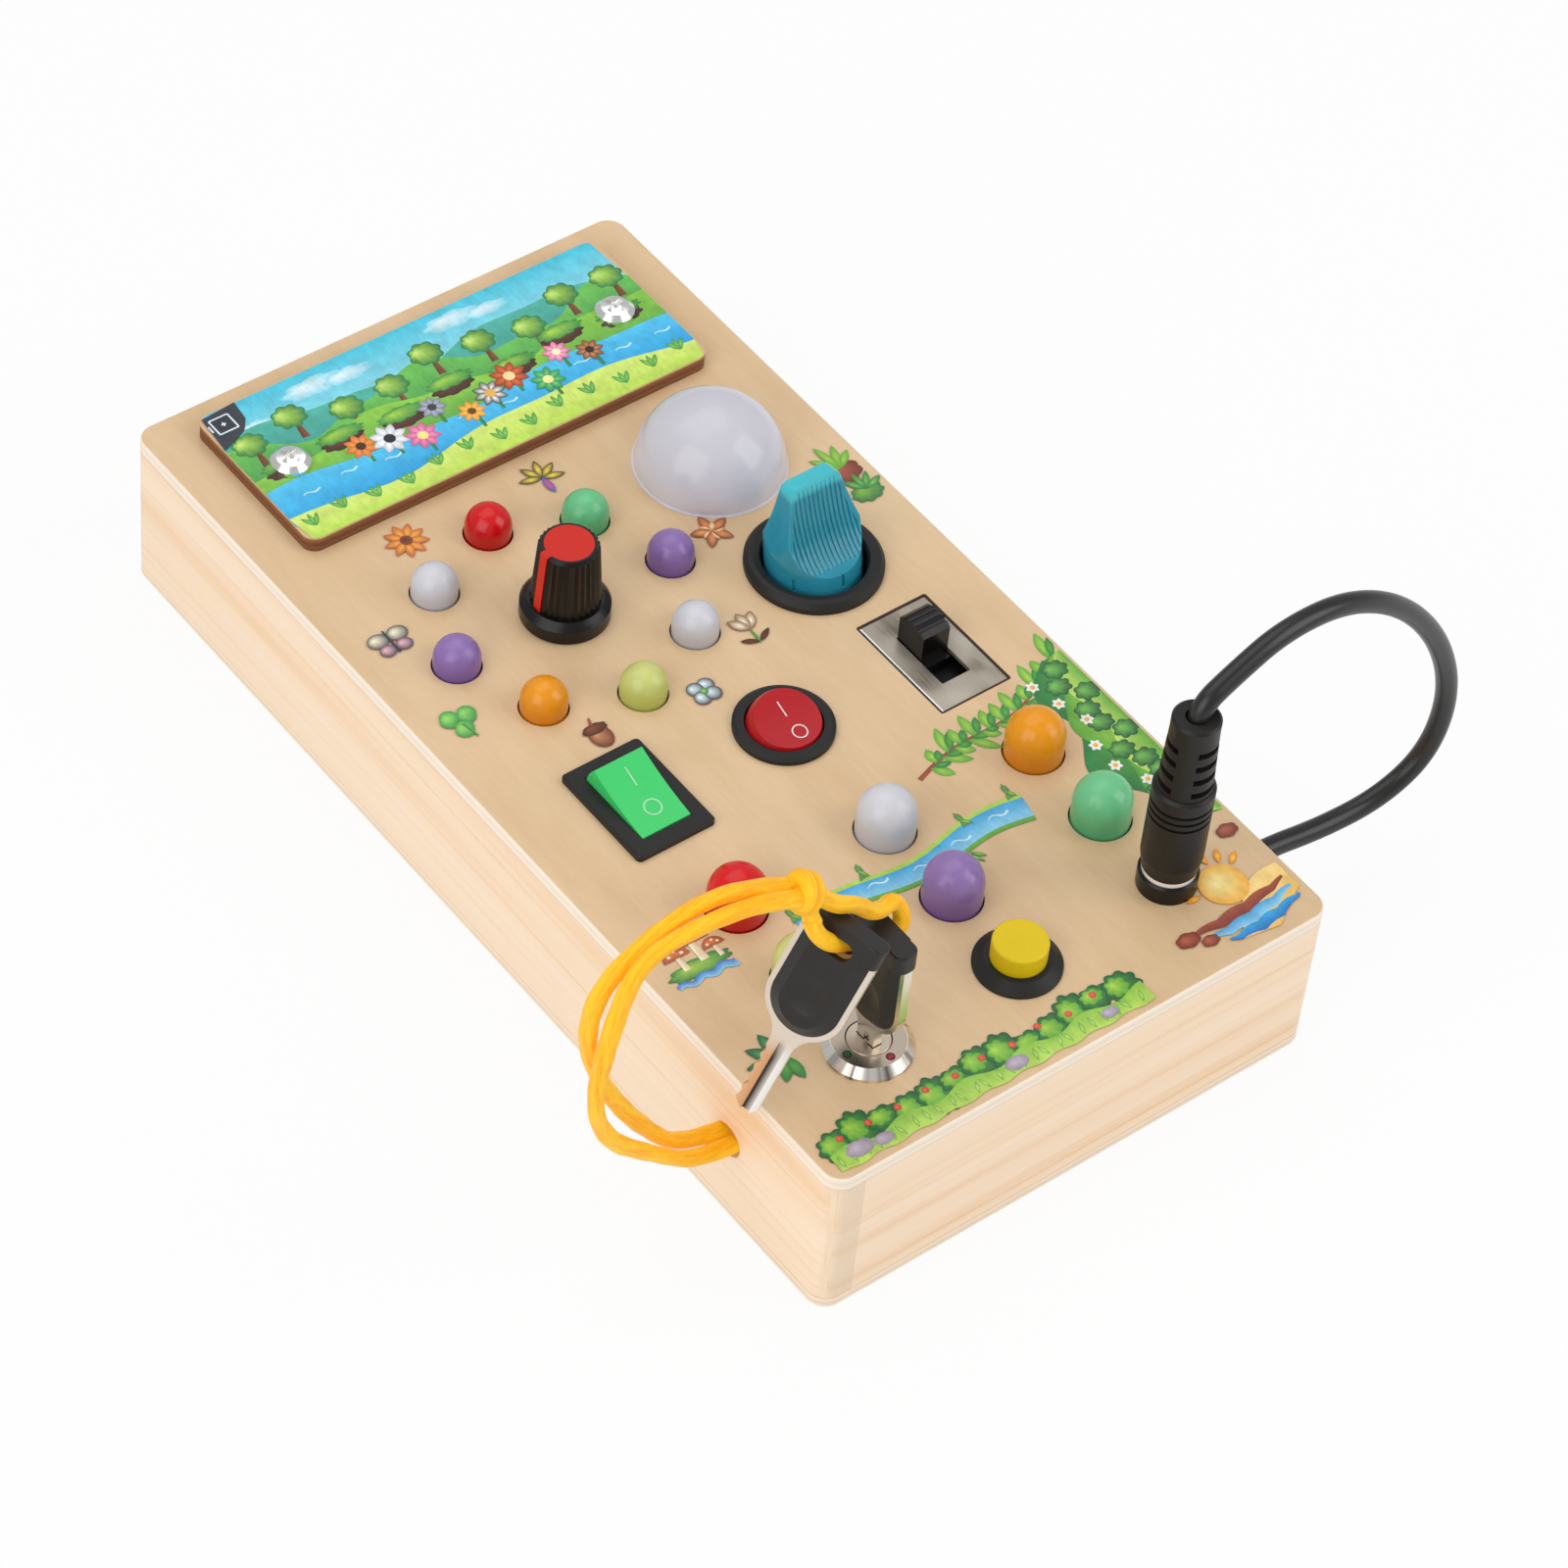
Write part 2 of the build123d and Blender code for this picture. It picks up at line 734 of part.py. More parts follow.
def slide_frame():
    """Folded steel cover: a slotted plate with a skirt down each long side."""
    plate = slab(slide_plate_width, slide_plate_length, plate_under, plate_top, 0.4)
    plate -= slab(slide_slot_width, slide_slot_length, plate_under, plate_top, 0.2)
    for side in (-1, 1):
        edge = side * (slide_plate_width - slide_plate_thickness) / 2
        plate += Pos(edge, 0, 0) * slab(
            slide_plate_thickness, 0.8 * slide_plate_length, plate_under - slide_skirt_depth, plate_under)
    return Pos(column_right, row_slide, 0) * plate


def slide_base():
    """Moulded body inside the steel cover, with a trough for the slider's foot."""
    width = slide_plate_width - 2 * slide_plate_thickness
    body = slab(width, 0.96 * slide_plate_length, plate_under - slide_body_depth, plate_under)
    trough = slide_foot_length + slide_travel + 2 * turning_gap
    body -= slab(slide_foot_width + 2 * turning_gap, trough,
                 plate_under - slide_foot_height - 2 * turning_gap, plate_under)
    return Pos(column_right, row_slide, 0) * body


def slide_actuator():
    """Slider: a ridged, humped finger on a wider foot under the plate."""
    foot_top = plate_under - running_gap
    foot = slab(slide_foot_width, slide_foot_length, foot_top - slide_foot_height, foot_top)
    half = slide_finger_length / 2
    top = deck + slide_finger_height
    side_view = [Line((-half, foot_top), (half, foot_top)),
                 Line((half, foot_top), (half, top - finger_crown)),
                 ThreePointArc((half, top - finger_crown), (0, top), (-half, top - finger_crown)),
                 Line((-half, top - finger_crown), (-half, foot_top))]
    finger = extrude(section(Plane.YZ, side_view), slide_finger_width / 2, both=True)
    pitch = slide_finger_length / slide_finger_ridges
    for step in range(slide_finger_ridges - 1):
        y = (step - (slide_finger_ridges - 2) / 2) * pitch
        height = top - finger_crown * (y / half) ** 2
        finger -= Pos(0, y, height) * Rot(45, 0, 0) * Box(slide_finger_width, finger_groove, finger_groove)
    return Pos(column_right, row_slide + finger_rest, 0) * (foot + finger)


# --- Rockers ------------------------------------------------------------------

rocker_pivot = deck - rocker_pivot_depth
round_mouth_radius = round_button_radius + rocker_gap
rect_mouth_width = rect_button_width + 2 * rocker_gap
rect_mouth_length = 2 * (rect_button_swing + rocker_gap)


def at_rest(button, x):
    """A rocker's button tipped on its pivot, with the far end up."""
    swing = Pos(0, 0, rocker_pivot) * Rot(rocker_tilt, 0, 0) * Pos(0, 0, -rocker_pivot)
    return Pos(x, row_rockers, 0) * swing * button


def rocker_side(swing):
    """Side view of a rocker's button: dished top, and ends round its pivot."""
    high = rocker_pivot + rocker_button_rise
    low = rocker_pivot - rocker_button_drop
    outline = [Line((-swing, low), (swing, low)), Line((swing, low), (swing, high)),
               ThreePointArc((swing, high), (0, high - rocker_dish), (-swing, high)),
               Line((-swing, high), (-swing, low))]
    return section(Plane.YZ, outline) & Plane.YZ * Pos(0, rocker_pivot) * Circle(swing)


def round_rocker_housing():
    """Round black bezel and barrel with holes for the button's pins."""
    height = deck + rocker_bezel_height
    ring = turned((round_mouth_radius, deck), (round_bezel_radius, deck),
                  (round_bezel_radius, deck + rocker_bezel_edge),
                  (round_bezel_radius - round_bezel_slope, height), (round_mouth_radius, height))
    barrel = post(round_barrel_radius, deck - rocker_barrel_depth, deck)
    barrel -= post(round_mouth_radius, deck - rocker_cavity_depth, deck)
    housing = ring + barrel
    housing -= cross_pin(rocker_pin_radius + running_gap, round_barrel_radius, rocker_pivot)
    return Pos(column_middle, row_rockers, 0) * housing


def round_rocker_button():
    button = extrude(rocker_side(round_button_radius), round_button_radius, both=True)
    button = button & Pos(0, 0, rocker_pivot) * Sphere(round_button_radius)
    button += cross_pin(rocker_pin_radius, round_barrel_radius - running_gap, rocker_pivot)
    return at_rest(button, column_middle)


def rect_rocker_housing():
    """Oblong black bezel and body with holes for the button's pins."""
    height = deck + rocker_bezel_height
    bezel = slab(rect_bezel_width, rect_bezel_length, deck, height, rect_bezel_corner)
    bezel = chamfer(bezel.faces().sort_by(Axis.Z)[-1].edges(), rect_bezel_chamfer)
    bezel += slab(rect_barrel_width, rect_barrel_length, deck - rocker_barrel_depth, deck)
    bezel -= slab(rect_mouth_width, rect_mouth_length, deck - rocker_cavity_depth, height)
    bezel -= cross_pin(rocker_pin_radius + running_gap, rect_barrel_width / 2, rocker_pivot)
    return Pos(oblong_x, row_rockers, 0) * bezel


def rect_rocker_button():
    button = extrude(rocker_side(rect_button_swing), rect_button_width / 2, both=True)
    button += cross_pin(rocker_pin_radius, rect_barrel_width / 2 - running_gap, rocker_pivot)
    return at_rest(button, oblong_x)


# --- Push button --------------------------------------------------------------

collar_top = deck - push_collar_depth
collar_bore = push_collar_radius + running_gap * 4
well_floor = deck - push_barrel_depth + push_floor


def push_bezel():
    """Black bushing with a sloped bezel, bored for the cap and its collar."""
    body = turned((0, deck), (push_bezel_radius, deck), (push_bezel_radius, deck + push_bezel_edge),
                  (push_bezel_top_radius, deck + push_bezel_height), (0, deck + push_bezel_height))
    body += post(push_barrel_radius, deck - push_barrel_depth, deck)
    body -= post(push_cap_radius + running_gap, well_floor, deck + push_bezel_height)
    body -= post(collar_bore, well_floor, collar_top)
    return Pos(column_middle, row_front, 0) * body


def push_cap():
    """Yellow cap with a stop collar and a socket for its spring."""
    top = deck + push_cap_stand
    low = collar_top - push_collar_height
    cap = turned((0, low), (push_collar_radius, low), (push_collar_radius, collar_top - running_gap),
                 (push_cap_radius, collar_top - running_gap), (push_cap_radius, top), (0, top))
    cap = fillet(cap.faces().sort_by(Axis.Z)[-1].edges(), push_cap_round)
    return Pos(column_middle, row_front, 0) * cap


def push_spring():
    """Coil spring between the cap and the floor of the bushing."""
    low = well_floor + spring_wire
    high = collar_top - push_collar_height - spring_wire
    coil = Helix((high - low) / spring_turns, high - low, spring_radius)
    wire = Plane(origin=coil @ 0, z_dir=coil % 0) * RegularPolygon(spring_wire, 6)
    return Pos(column_middle, row_front, low) * sweep(wire, path=coil, is_frenet=True)


def panel_nut(barrel_radius, x):
    """Thin hexagon nut that clamps a round bushing from under the panel."""
    nut = hexagon_nut(panel_nut_flats, panel_nut_height, barrel_radius, deck_under - panel_nut_height)
    return Pos(x, row_front, 0) * nut


# --- Key lock and keys --------------------------------------------------------

def blade_section(gap):
    """Cross-section of the blade with its milled groove, grown by a gap."""
    outline = Rectangle(blade_width + 2 * gap, key_sheet + 2 * gap)
    groove = Rectangle(blade_groove_width - 2 * gap, blade_groove_depth)
    edge = key_sheet / 2 + gap - blade_groove_depth / 2
    return outline - Pos(blade_groove_offset, -edge) * groove


def lock_bezel():
    """Chromed lock case: sloped bezel on a threaded barrel."""
    body = turned((0, deck), (lock_bezel_radius, deck), (lock_bezel_radius, deck + lock_bezel_edge),
                  (lock_bezel_top_radius, lock_face), (0, lock_face))
    body += post(lock_barrel_radius, deck - lock_barrel_depth, deck)
    body -= post(core_radius + running_gap, lock_face - core_length - running_gap, lock_face)
    return Pos(column_left, row_front, 0) * body


def lock_core():
    """Turning core with a keyway whose rib fits the groove of the blade."""
    core = post(core_radius, lock_face - core_length, lock_face)
    core = chamfer(core.faces().sort_by(Axis.Z)[-1].edges(), 0.2)
    keyway = Rot(0, 0, -90) * blade_section(keyway_gap)
    keyway_depth = blade_length - key_stand + key_tip_gap
    core -= Pos(0, 0, lock_face - keyway_depth) * extrude(keyway, keyway_depth)
    return Pos(column_left, row_front, 0) * core


def key_outline():
    """Flat outline of the stamped key: pointed blade, flared neck and round bow."""
    half = blade_width / 2
    centre = bow_neck + bow_radius - bow_rim
    shoulder = -blade_length + blade_point
    blade = Polygon((-half, shoulder), (-half + blade_point_back, -blade_length),
                    (half - blade_point_front, -blade_length), (half, shoulder),
                    (half, centre), (-half, centre), align=None)
    bow = Pos(0, centre) * Circle(bow_radius)
    cap_low = bow_neck + head_length - head_cap_length
    bow += Pos(0, (centre + cap_low) / 2) * Rectangle(2 * bow_radius, cap_low - centre)
    outline = blade + bow
    corners = outline.vertices().filter_by(lambda v: abs(abs(v.X) - half) < 0.01 and 0 < v.Y < centre)
    outline = fillet(corners, bow_neck_round)
    for step, depth in enumerate(bitting):
        y = -blade_length + bitting_start + step * bitting_pitch
        reach = 0.45 * bitting_pitch
        notch = Polygon((-half - 0.01, y - reach), (-half + depth, y), (-half - 0.01, y + reach), align=None)
        outline -= notch
    return outline


def head_slot():
    """Slot for the cord, right through the top of the head."""
    height = bow_neck + head_length - head_slot_drop
    slot = Plane.XZ * Pos(0, height) * SlotOverall(head_slot_length, head_slot_width)
    return extrude(slot, head_thickness, both=True)


def key_metal():
    """Nickelled key, upright on its blade, with the groove and cord slot."""
    metal = extrude(Plane.XZ * key_outline(), key_sheet / 2, both=True)
    groove = Box(blade_groove_width, blade_groove_depth, blade_length - groove_run_out,
                 align=(Align.CENTER, Align.MIN, Align.MIN))
    metal -= Pos(blade_groove_offset, -key_sheet / 2, -blade_length) * groove
    return metal - head_slot()


def head_pad(inset):
    """Outline of the moulded head inside the metal rim, drawn in by the given amount."""
    half = bow_radius - bow_rim - inset
    centre = bow_neck + bow_radius - bow_rim
    top = bow_neck + head_length
    return Pos(0, centre) * Circle(half) + Pos(0, (centre + top) / 2) * Rectangle(2 * half, top - centre)


def key_plastic():
    """Black moulding over the bow: two pads with wide bevels and a thumb
    hollow, joined by a round-ended cap over the top of the metal."""
    top = bow_neck + head_length
    face = head_thickness / 2
    moulding = extrude(Plane.XZ * head_pad(0), key_sheet / 2, both=True)
    for side in (-1, 1):
        foot = Plane.XZ.offset(side * key_sheet / 2) * head_pad(0)
        crown = Plane.XZ.offset(side * face) * head_pad(head_bevel)
        moulding += loft([foot, crown], ruled=True)
    cap = Pos(0, 0, top - head_cap_length) * extrude(
        RectangleRounded(head_cap_width, head_thickness, head_cap_round), head_cap_length)
    moulding += fillet(cap.faces().sort_by(Axis.Z)[-1].edges(), head_cap_easing)
    ball = (thumb_recess_radius ** 2 + thumb_recess_depth ** 2) / (2 * thumb_recess_depth)
    height = bow_neck + bow_radius - bow_rim + thumb_recess_rise
    for side in (-1, 1):
        moulding -= Pos(0, side * (face - thumb_recess_depth + ball), height) * Sphere(ball)
    metal = extrude(Plane.XZ * key_outline(), key_sheet / 2, both=True)
    return moulding - metal - head_slot()


# The inserted key stands in the lock with its flat side facing across the board.
lock_place = Location((column_left, row_front, lock_face + key_stand), (0, 0, -90))

# The spare key hangs from the loop, its tip just off the left edge of the top.
spare_tip = Vector(-53.4, -77.8, 34.4)
spare_up = Vector(0.417, -0.047, 0.908)
spare_across = Vector(0.354, -0.911, -0.210)
spare_place = Plane(origin=spare_tip + spare_up * blade_length, x_dir=spare_across, z_dir=spare_up)


# --- Key cord -----------------------------------------------------------------

knot_centre = Vector(-44.9, -76.2, 77.1)
knot_axis = Vector(0.87, -0.05, -0.49).normalized()
knot_plane = Plane(origin=knot_centre, x_dir=(0.05, 0.87, 0), z_dir=knot_axis)
knot_tail = Vector(0.6, -1.9, -6.5)
strand_shift = cord_radius + 2 * running_gap

# Both strands leave the same hole, cross once and run into the knot side by side.
outer_route = [
    (-inner_x, -69.3, cord_hole_z), (-57.5, -69.4, 18.2), (-67.8, -69.9, 32.0), (-75.9, -70.6, 47.4),
    (-80.9, -71.7, 62.0), (-80.0, -72.6, 73.9), (-72.8, -73.2, 80.6), (-63.2, -74.0, 84.6),
]
inner_route = [
    (-inner_x, -72.3, cord_hole_z), (-56.5, -72.6, 17.4), (-67.5, -73.2, 28.2), (-76.8, -74.0, 38.4),
    (-81.0, -74.7, 50.6), (-79.6, -75.6, 66.0), (-76.0, -76.3, 81.2), (-66.5, -76.9, 83.7),
]


def strand(route, side, lead):
    """One strand of the cord, finishing square on the knot."""
    end = knot_plane.from_local_coords(Vector(side * strand_shift, 0, -knot_length / 2))
    points = route + [tuple(end - knot_axis * lead), tuple(end)]
    return bent_tube(points, cord_radius)


def cord_knot():
    """Overhand knot kept as one plain lump, with a tail narrowing to the loop."""
    lump = fillet(Cylinder(knot_radius, knot_length).edges(), knot_round)
    tail = Cone(tail_radius, tail_end_radius, knot_tail.length,
                align=(Align.CENTER, Align.CENTER, Align.MIN))
    tail = fillet(tail.edges().sort_by(Axis.Z)[-1], tail_round)
    return knot_plane.location * lump + Plane(origin=knot_centre, z_dir=knot_tail).location * tail


def loop_route():
    """Cord below the knot: out of its tail, through the spare key, through the
    inserted key, then back over the top of its head and up into the knot."""
    slot_height = bow_neck + head_length - head_slot_drop
    spare_slot = spare_place.from_local_coords(Vector(0, 0, slot_height))
    through = (spare_place.y_dir + spare_across * 0.45).normalized()
    level = lock_face + key_stand + slot_height
    beside = column_left + head_thickness / 2 + cord_radius + turning_gap
    above = level + head_slot_drop + cord_radius + turning_gap
    return [
        tuple(knot_centre + knot_tail * 0.7),
        tuple(spare_slot - through * 5.2), tuple(spare_slot + through * 6.0),
        (column_left - 6.0, row_front, level), (beside + 1.0, row_front + 0.3, level),
        (beside + 0.5, row_front + 2.8, above + 0.2), (column_left - 0.8, row_front + 1.2, above + 0.6),
        (-34.5, -76.7, 68.4), (-39.8, -76.9, 71.6), tuple(knot_centre + Vector(2.0, -0.2, -1.2)),
    ]


def key_loop():
    return bent_tube(loop_route(), cord_radius)


# --- Patch lead ---------------------------------------------------------------

jack_top = deck + jack_collar_height
plug_low = jack_top + plug_ring_height
plug_shoulder = plug_low + plug_body_length
plug_top = plug_shoulder + plug_relief_length


def dc_jack():
    """Black panel jack with a contact pin in its bore."""
    body = turned((0, deck), (jack_collar_radius, deck), (jack_collar_radius, jack_top - 0.4),
                  (jack_collar_radius - 0.4, jack_top), (0, jack_top))
    body += post(jack_barrel_radius, deck - jack_barrel_depth, deck)
    body -= post(jack_bore_radius, jack_top - jack_bore_depth, jack_top)
    body += post(jack_pin_radius, jack_top - jack_bore_depth, jack_top - 1.5)
    return Pos(column_right, row_front, 0) * body


def dc_plug_barrel():
    """Nickelled plug barrel, open at its end, with a ring under the moulding."""
    body = post(plug_ring_radius, jack_top, plug_low)
    body += post(plug_barrel_radius, jack_top - plug_barrel_length, jack_top)
    body -= post(plug_barrel_radius - plug_barrel_wall, jack_top - plug_barrel_length, jack_top)
    return Pos(column_right, row_front, 0) * body


def dc_plug():
    """Moulded plug: a grooved grip and a strain relief slotted on both sides."""
    body = turned((0, plug_low), (plug_foot_radius, plug_low),
                  (plug_body_radius, plug_low + plug_foot_height),
                  (plug_body_radius, plug_shoulder - plug_edge),
                  (plug_body_radius - plug_edge, plug_shoulder),
                  (plug_relief_foot, plug_shoulder), (plug_relief_tip, plug_top - relief_band),
                  (plug_relief_tip, plug_top - relief_edge), (plug_relief_tip - relief_edge, plug_top),
                  (0, plug_top))
    for step in range(plug_rings):
        low = plug_shoulder - plug_ring_start - step * plug_ring_pitch
        groove = post(plug_body_radius + 1, low, low + plug_ring_width)
        groove -= post(plug_body_radius - plug_ring_depth, low, low + plug_ring_width)
        body -= groove
    for step in range(relief_slots):
        low = plug_shoulder + relief_slot_start + step * relief_slot_pitch
        high = low + relief_slot_height
        keep = post(cable_radius + relief_core, low, high)
        keep += slab(2 * relief_rib, 3 * plug_relief_foot, low, high)
        slot = slab(3 * plug_relief_foot, 3 * plug_relief_foot, low, high) - keep
        body -= Rot(0, 0, relief_turn) * slot
    body -= post(cable_radius + running_gap, plug_top - cable_socket, plug_top)
    return Pos(column_right, row_front, 0) * body


cable_route = [
    (column_right, row_front, plug_top - cable_socket), (column_right, row_front, plug_top + 1.8),
    (38.4, -76.5, plug_top + 4.1), (49.5, -75.4, 77.8), (63.5, -74.8, 76.0), (77.5, -74.2, 66.5),
    (89.0, -73.7, 51.5), (95.4, -73.2, 35.0), (94.2, -72.8, 21.0), (86.0, -72.1, 14.2),
    (73.5, -71.4, 13.2), (58.5, cable_hole_y, cable_hole_z), (inner_x, cable_hole_y, cable_hole_z),
]


# --- Pieces, in the order the board is put together ---------------------------

def build_pieces():
    pieces = {
        "base_panel": base_panel(),
        "rail_left": left_rail(),
        "rail_right": right_rail(),
        "rail_back": cross_rail(1),
        "rail_front": cross_rail(-1),
        "top_panel": top_panel(),
        "battery_holder": battery_holder(),
        "battery_contacts": battery_contacts(),
        "batteries": batteries(),
        "battery_cover": battery_cover(),
        "cover_screws": cover_screws(),
    }
    for number, (x, y) in enumerate(ring_spots(), 1):
        pieces[f"ring_lamp_{number}"] = Pos(x, y, 0) * lamp(ring_lamp_radius, ring_lamp_stand)
    for number, (x, y) in enumerate(grid_spots(), 1):
        pieces[f"grid_lamp_{number}"] = Pos(x, y, 0) * lamp(grid_lamp_radius, grid_lamp_stand)
    pieces.update({
        "circuit_boards": circuit_boards(),
        "lamp_dome": lamp_dome(),
        "pot_body": pot_body(),
        "pot_nut": pot_nut(),
        "pot_shaft": pot_shaft(),
        "knob_body": knob_body(),
        "knob_cap": knob_cap(),
        "toggle_housing": toggle_housing(),
        "toggle_lens": toggle_lens(),
        "slide_frame": slide_frame(),
        "slide_base": slide_base(),
        "slide_actuator": slide_actuator(),
        "round_rocker_housing": round_rocker_housing(),
        "round_rocker_button": round_rocker_button(),
        "rect_rocker_housing": rect_rocker_housing(),
        "rect_rocker_button": rect_rocker_button(),
        "push_bezel": push_bezel(),
        "push_cap": push_cap(),
        "push_spring": push_spring(),
        "push_nut": panel_nut(push_barrel_radius, column_middle),
        "lock_bezel": lock_bezel(),
        "lock_core": lock_core(),
        "lock_nut": panel_nut(lock_barrel_radius, column_left),
        "key_blade": lock_place * key_metal(),
        "key_head": lock_place * key_plastic(),
        "spare_key_blade": spare_place.location * key_metal(),
        "spare_key_head": spare_place.location * key_plastic(),
        "key_cord_outer": strand(outer_route, 1, 7.5),
        "key_cord_inner": strand(inner_route, -1, 7.0),
        "cord_knot": cord_knot(),
        "key_loop": key_loop(),
        "dc_jack": dc_jack(),
        "dc_plug_barrel": dc_plug_barrel(),
        "dc_plug": dc_plug(),
        "dc_cable": bent_tube(cable_route, cable_radius),
    })
    return pieces


os.makedirs("parts", exist_ok=True)
for name, piece in build_pieces().items():
    export_step(piece, f"parts/{name}.step")
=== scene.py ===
import bpy
from math import cos, pi, radians, sin, sqrt
from mathutils import Matrix, Vector


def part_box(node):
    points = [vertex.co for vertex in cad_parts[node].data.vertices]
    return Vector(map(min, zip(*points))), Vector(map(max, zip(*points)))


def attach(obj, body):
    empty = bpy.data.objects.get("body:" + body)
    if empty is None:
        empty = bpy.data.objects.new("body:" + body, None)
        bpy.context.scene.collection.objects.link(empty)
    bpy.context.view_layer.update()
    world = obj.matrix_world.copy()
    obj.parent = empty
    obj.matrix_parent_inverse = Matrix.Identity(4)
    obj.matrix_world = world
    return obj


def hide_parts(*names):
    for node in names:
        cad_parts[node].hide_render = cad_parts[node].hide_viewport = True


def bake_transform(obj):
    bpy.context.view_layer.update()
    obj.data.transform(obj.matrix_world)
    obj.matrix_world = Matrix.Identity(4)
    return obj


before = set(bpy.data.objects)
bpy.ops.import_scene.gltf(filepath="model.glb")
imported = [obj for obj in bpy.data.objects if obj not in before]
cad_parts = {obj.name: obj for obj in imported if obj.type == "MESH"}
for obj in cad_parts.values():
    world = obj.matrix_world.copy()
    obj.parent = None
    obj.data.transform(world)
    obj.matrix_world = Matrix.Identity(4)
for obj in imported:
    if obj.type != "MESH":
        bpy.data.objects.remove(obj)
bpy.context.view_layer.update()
mm = 0.001


# --- Studio ---------------------------------------------------------------------
# A pale sweep under soft lamps: one to the left of the board, one low to the
# right, one overhead. The floor shows pale to the eye and keeps the shadow.

camera_lens = bpy.data.cameras.new("studio_camera")
camera_lens.lens = 132.67
camera_lens.sensor_width = 36.0
camera_lens.clip_start = 0.01
camera = bpy.data.objects.new("studio_camera", camera_lens)
camera_place = Vector((-0.42543, -0.48816, 0.71651))
camera_right = Vector((0.79145, -0.60656, 0.07544))
camera_up = Vector((0.41105, 0.61952, 0.66875))
camera_back = Vector((-0.45237, -0.49827, 0.73965))
camera.matrix_world = Matrix.Translation(camera_place) @ Matrix(
    (camera_right, camera_up, camera_back)).transposed().to_4x4()
bpy.context.collection.objects.link(camera)
bpy.context.scene.camera = camera
bpy.context.scene.view_settings.view_transform = "Standard"


def softbox(name, place, target, width, height, power):
    """A rectangular lamp that faces its target."""
    light = bpy.data.lights.new(name, "AREA")
    light.shape = "RECTANGLE"
    light.size, light.size_y, light.energy = width, height, power
    lamp = bpy.data.objects.new(name, light)
    lamp.location = place
    lamp.rotation_euler = (Vector(target) - Vector(place)).to_track_quat("-Z", "Y").to_euler()
    bpy.context.collection.objects.link(lamp)


softbox("softbox_left", place=(-1.05, -0.25, 0.75), target=(0, 0, 0.02), width=1.1, height=1.1, power=7.0)
softbox("softbox_right", place=(0.75, -0.75, 0.75), target=(0, 0, 0.03), width=0.75, height=1.0, power=5.2)
softbox("softbox_top", place=(0.05, 0.45, 1.15), target=(0, 0.02, 0.02), width=1.3, height=1.0, power=4.1)


class Value:
    """A node's output that takes part in sums like a number."""

    def __init__(self, finish, socket):
        self.finish, self.socket = finish, socket

    def math(self, operation, first, second=0.0):
        return self.finish.node("Math", {"operation": operation}, {0: first, 1: second})

    def __add__(self, other):
        return self.math("ADD", self, other)

    def __sub__(self, other):
        return self.math("SUBTRACT", self, other)

    def __rsub__(self, other):
        return self.math("SUBTRACT", other, self)

    def __mul__(self, other):
        return self.math("MULTIPLY", self, other)

    def __lt__(self, other):
        return self.math("LESS_THAN", self, other)

    def __abs__(self):
        return self.math("ABSOLUTE", self)

    __radd__ = __add__
    __rmul__ = __mul__


class Finish:
    """A material, or a world, under construction. node() adds any node and gives its
    output; mix() lays one colour over another."""

    def __init__(self, name, library=bpy.data.materials):
        self.material = library.new(name)
        self.material.use_nodes = True
        self.tree = self.material.node_tree
        self.tree.nodes.clear()

    def node(self, kind, settings=None, sockets=None, output=0):
        """Adds a node, sets it up, then fills its sockets with values or links."""
        node = self.tree.nodes.new("ShaderNode" + kind)
        for key, value in (settings or {}).items():
            if key == "stops":
                while len(node.color_ramp.elements) < len(value):
                    node.color_ramp.elements.new(1.0)
                for stop, (position, colour) in zip(node.color_ramp.elements, value):
                    stop.position, stop.color = position, colour
            else:
                setattr(node, key, value)
        for key, value in (sockets or {}).items():
            if isinstance(value, Value):
                self.tree.links.new(value.socket, node.inputs[key])
            else:
                node.inputs[key].default_value = value
        return Value(self, node.outputs[output])

    def mix(self, share, under, over, way="MIX"):
        """One colour laid over another by a share from 0 to 1."""
        return self.node("Mix", {"data_type": "RGBA", "blend_type": way}, {0: share, 6: under, 7: over}, 2)

    def surface(self, sockets):
        """Ends the material in a Principled shader with these sockets."""
        self.close(self.node("BsdfPrincipled", {}, sockets), "OutputMaterial")
        return self.material

    def close(self, shader, last):
        """Joins a shader to the output node."""
        end = self.tree.nodes.new("ShaderNode" + last)
        self.tree.links.new(shader.socket, end.inputs["Surface"])


def flat_object(name, spots, faces):
    """A mesh object from points in metres and their faces."""
    mesh = bpy.data.meshes.new(name)
    mesh.from_pydata(spots, [], faces)
    piece = bpy.data.objects.new(name, mesh)
    bpy.context.collection.objects.link(piece)
    return piece


sweep_paper = Finish("sweep_paper")
seen = sweep_paper.node("LightPath", output="Is Camera Ray")
mirrored = sweep_paper.node("LightPath", output="Is Glossy Ray")
through = sweep_paper.node("LightPath", output="Is Transmission Ray")
shown_share = seen * 0.9 + mirrored * 0.15 + through * 0.5
paper = sweep_paper.node("BsdfDiffuse", {}, {"Color": (0.86, 0.86, 0.86, 1)})
glow = sweep_paper.node("Emission", {}, {"Color": (1, 1, 1, 1), "Strength": 1.0})
sweep_paper.close(sweep_paper.node("MixShader", {}, {0: shown_share, 1: paper, 2: glow}), "OutputMaterial")
floor_reach = 4.0
floor = flat_object("floor", [(-floor_reach, -floor_reach, 0), (floor_reach, -floor_reach, 0),
                              (floor_reach, floor_reach, 0), (-floor_reach, floor_reach, 0)], [(0, 1, 2, 3)])
floor.data.materials.append(sweep_paper.material)

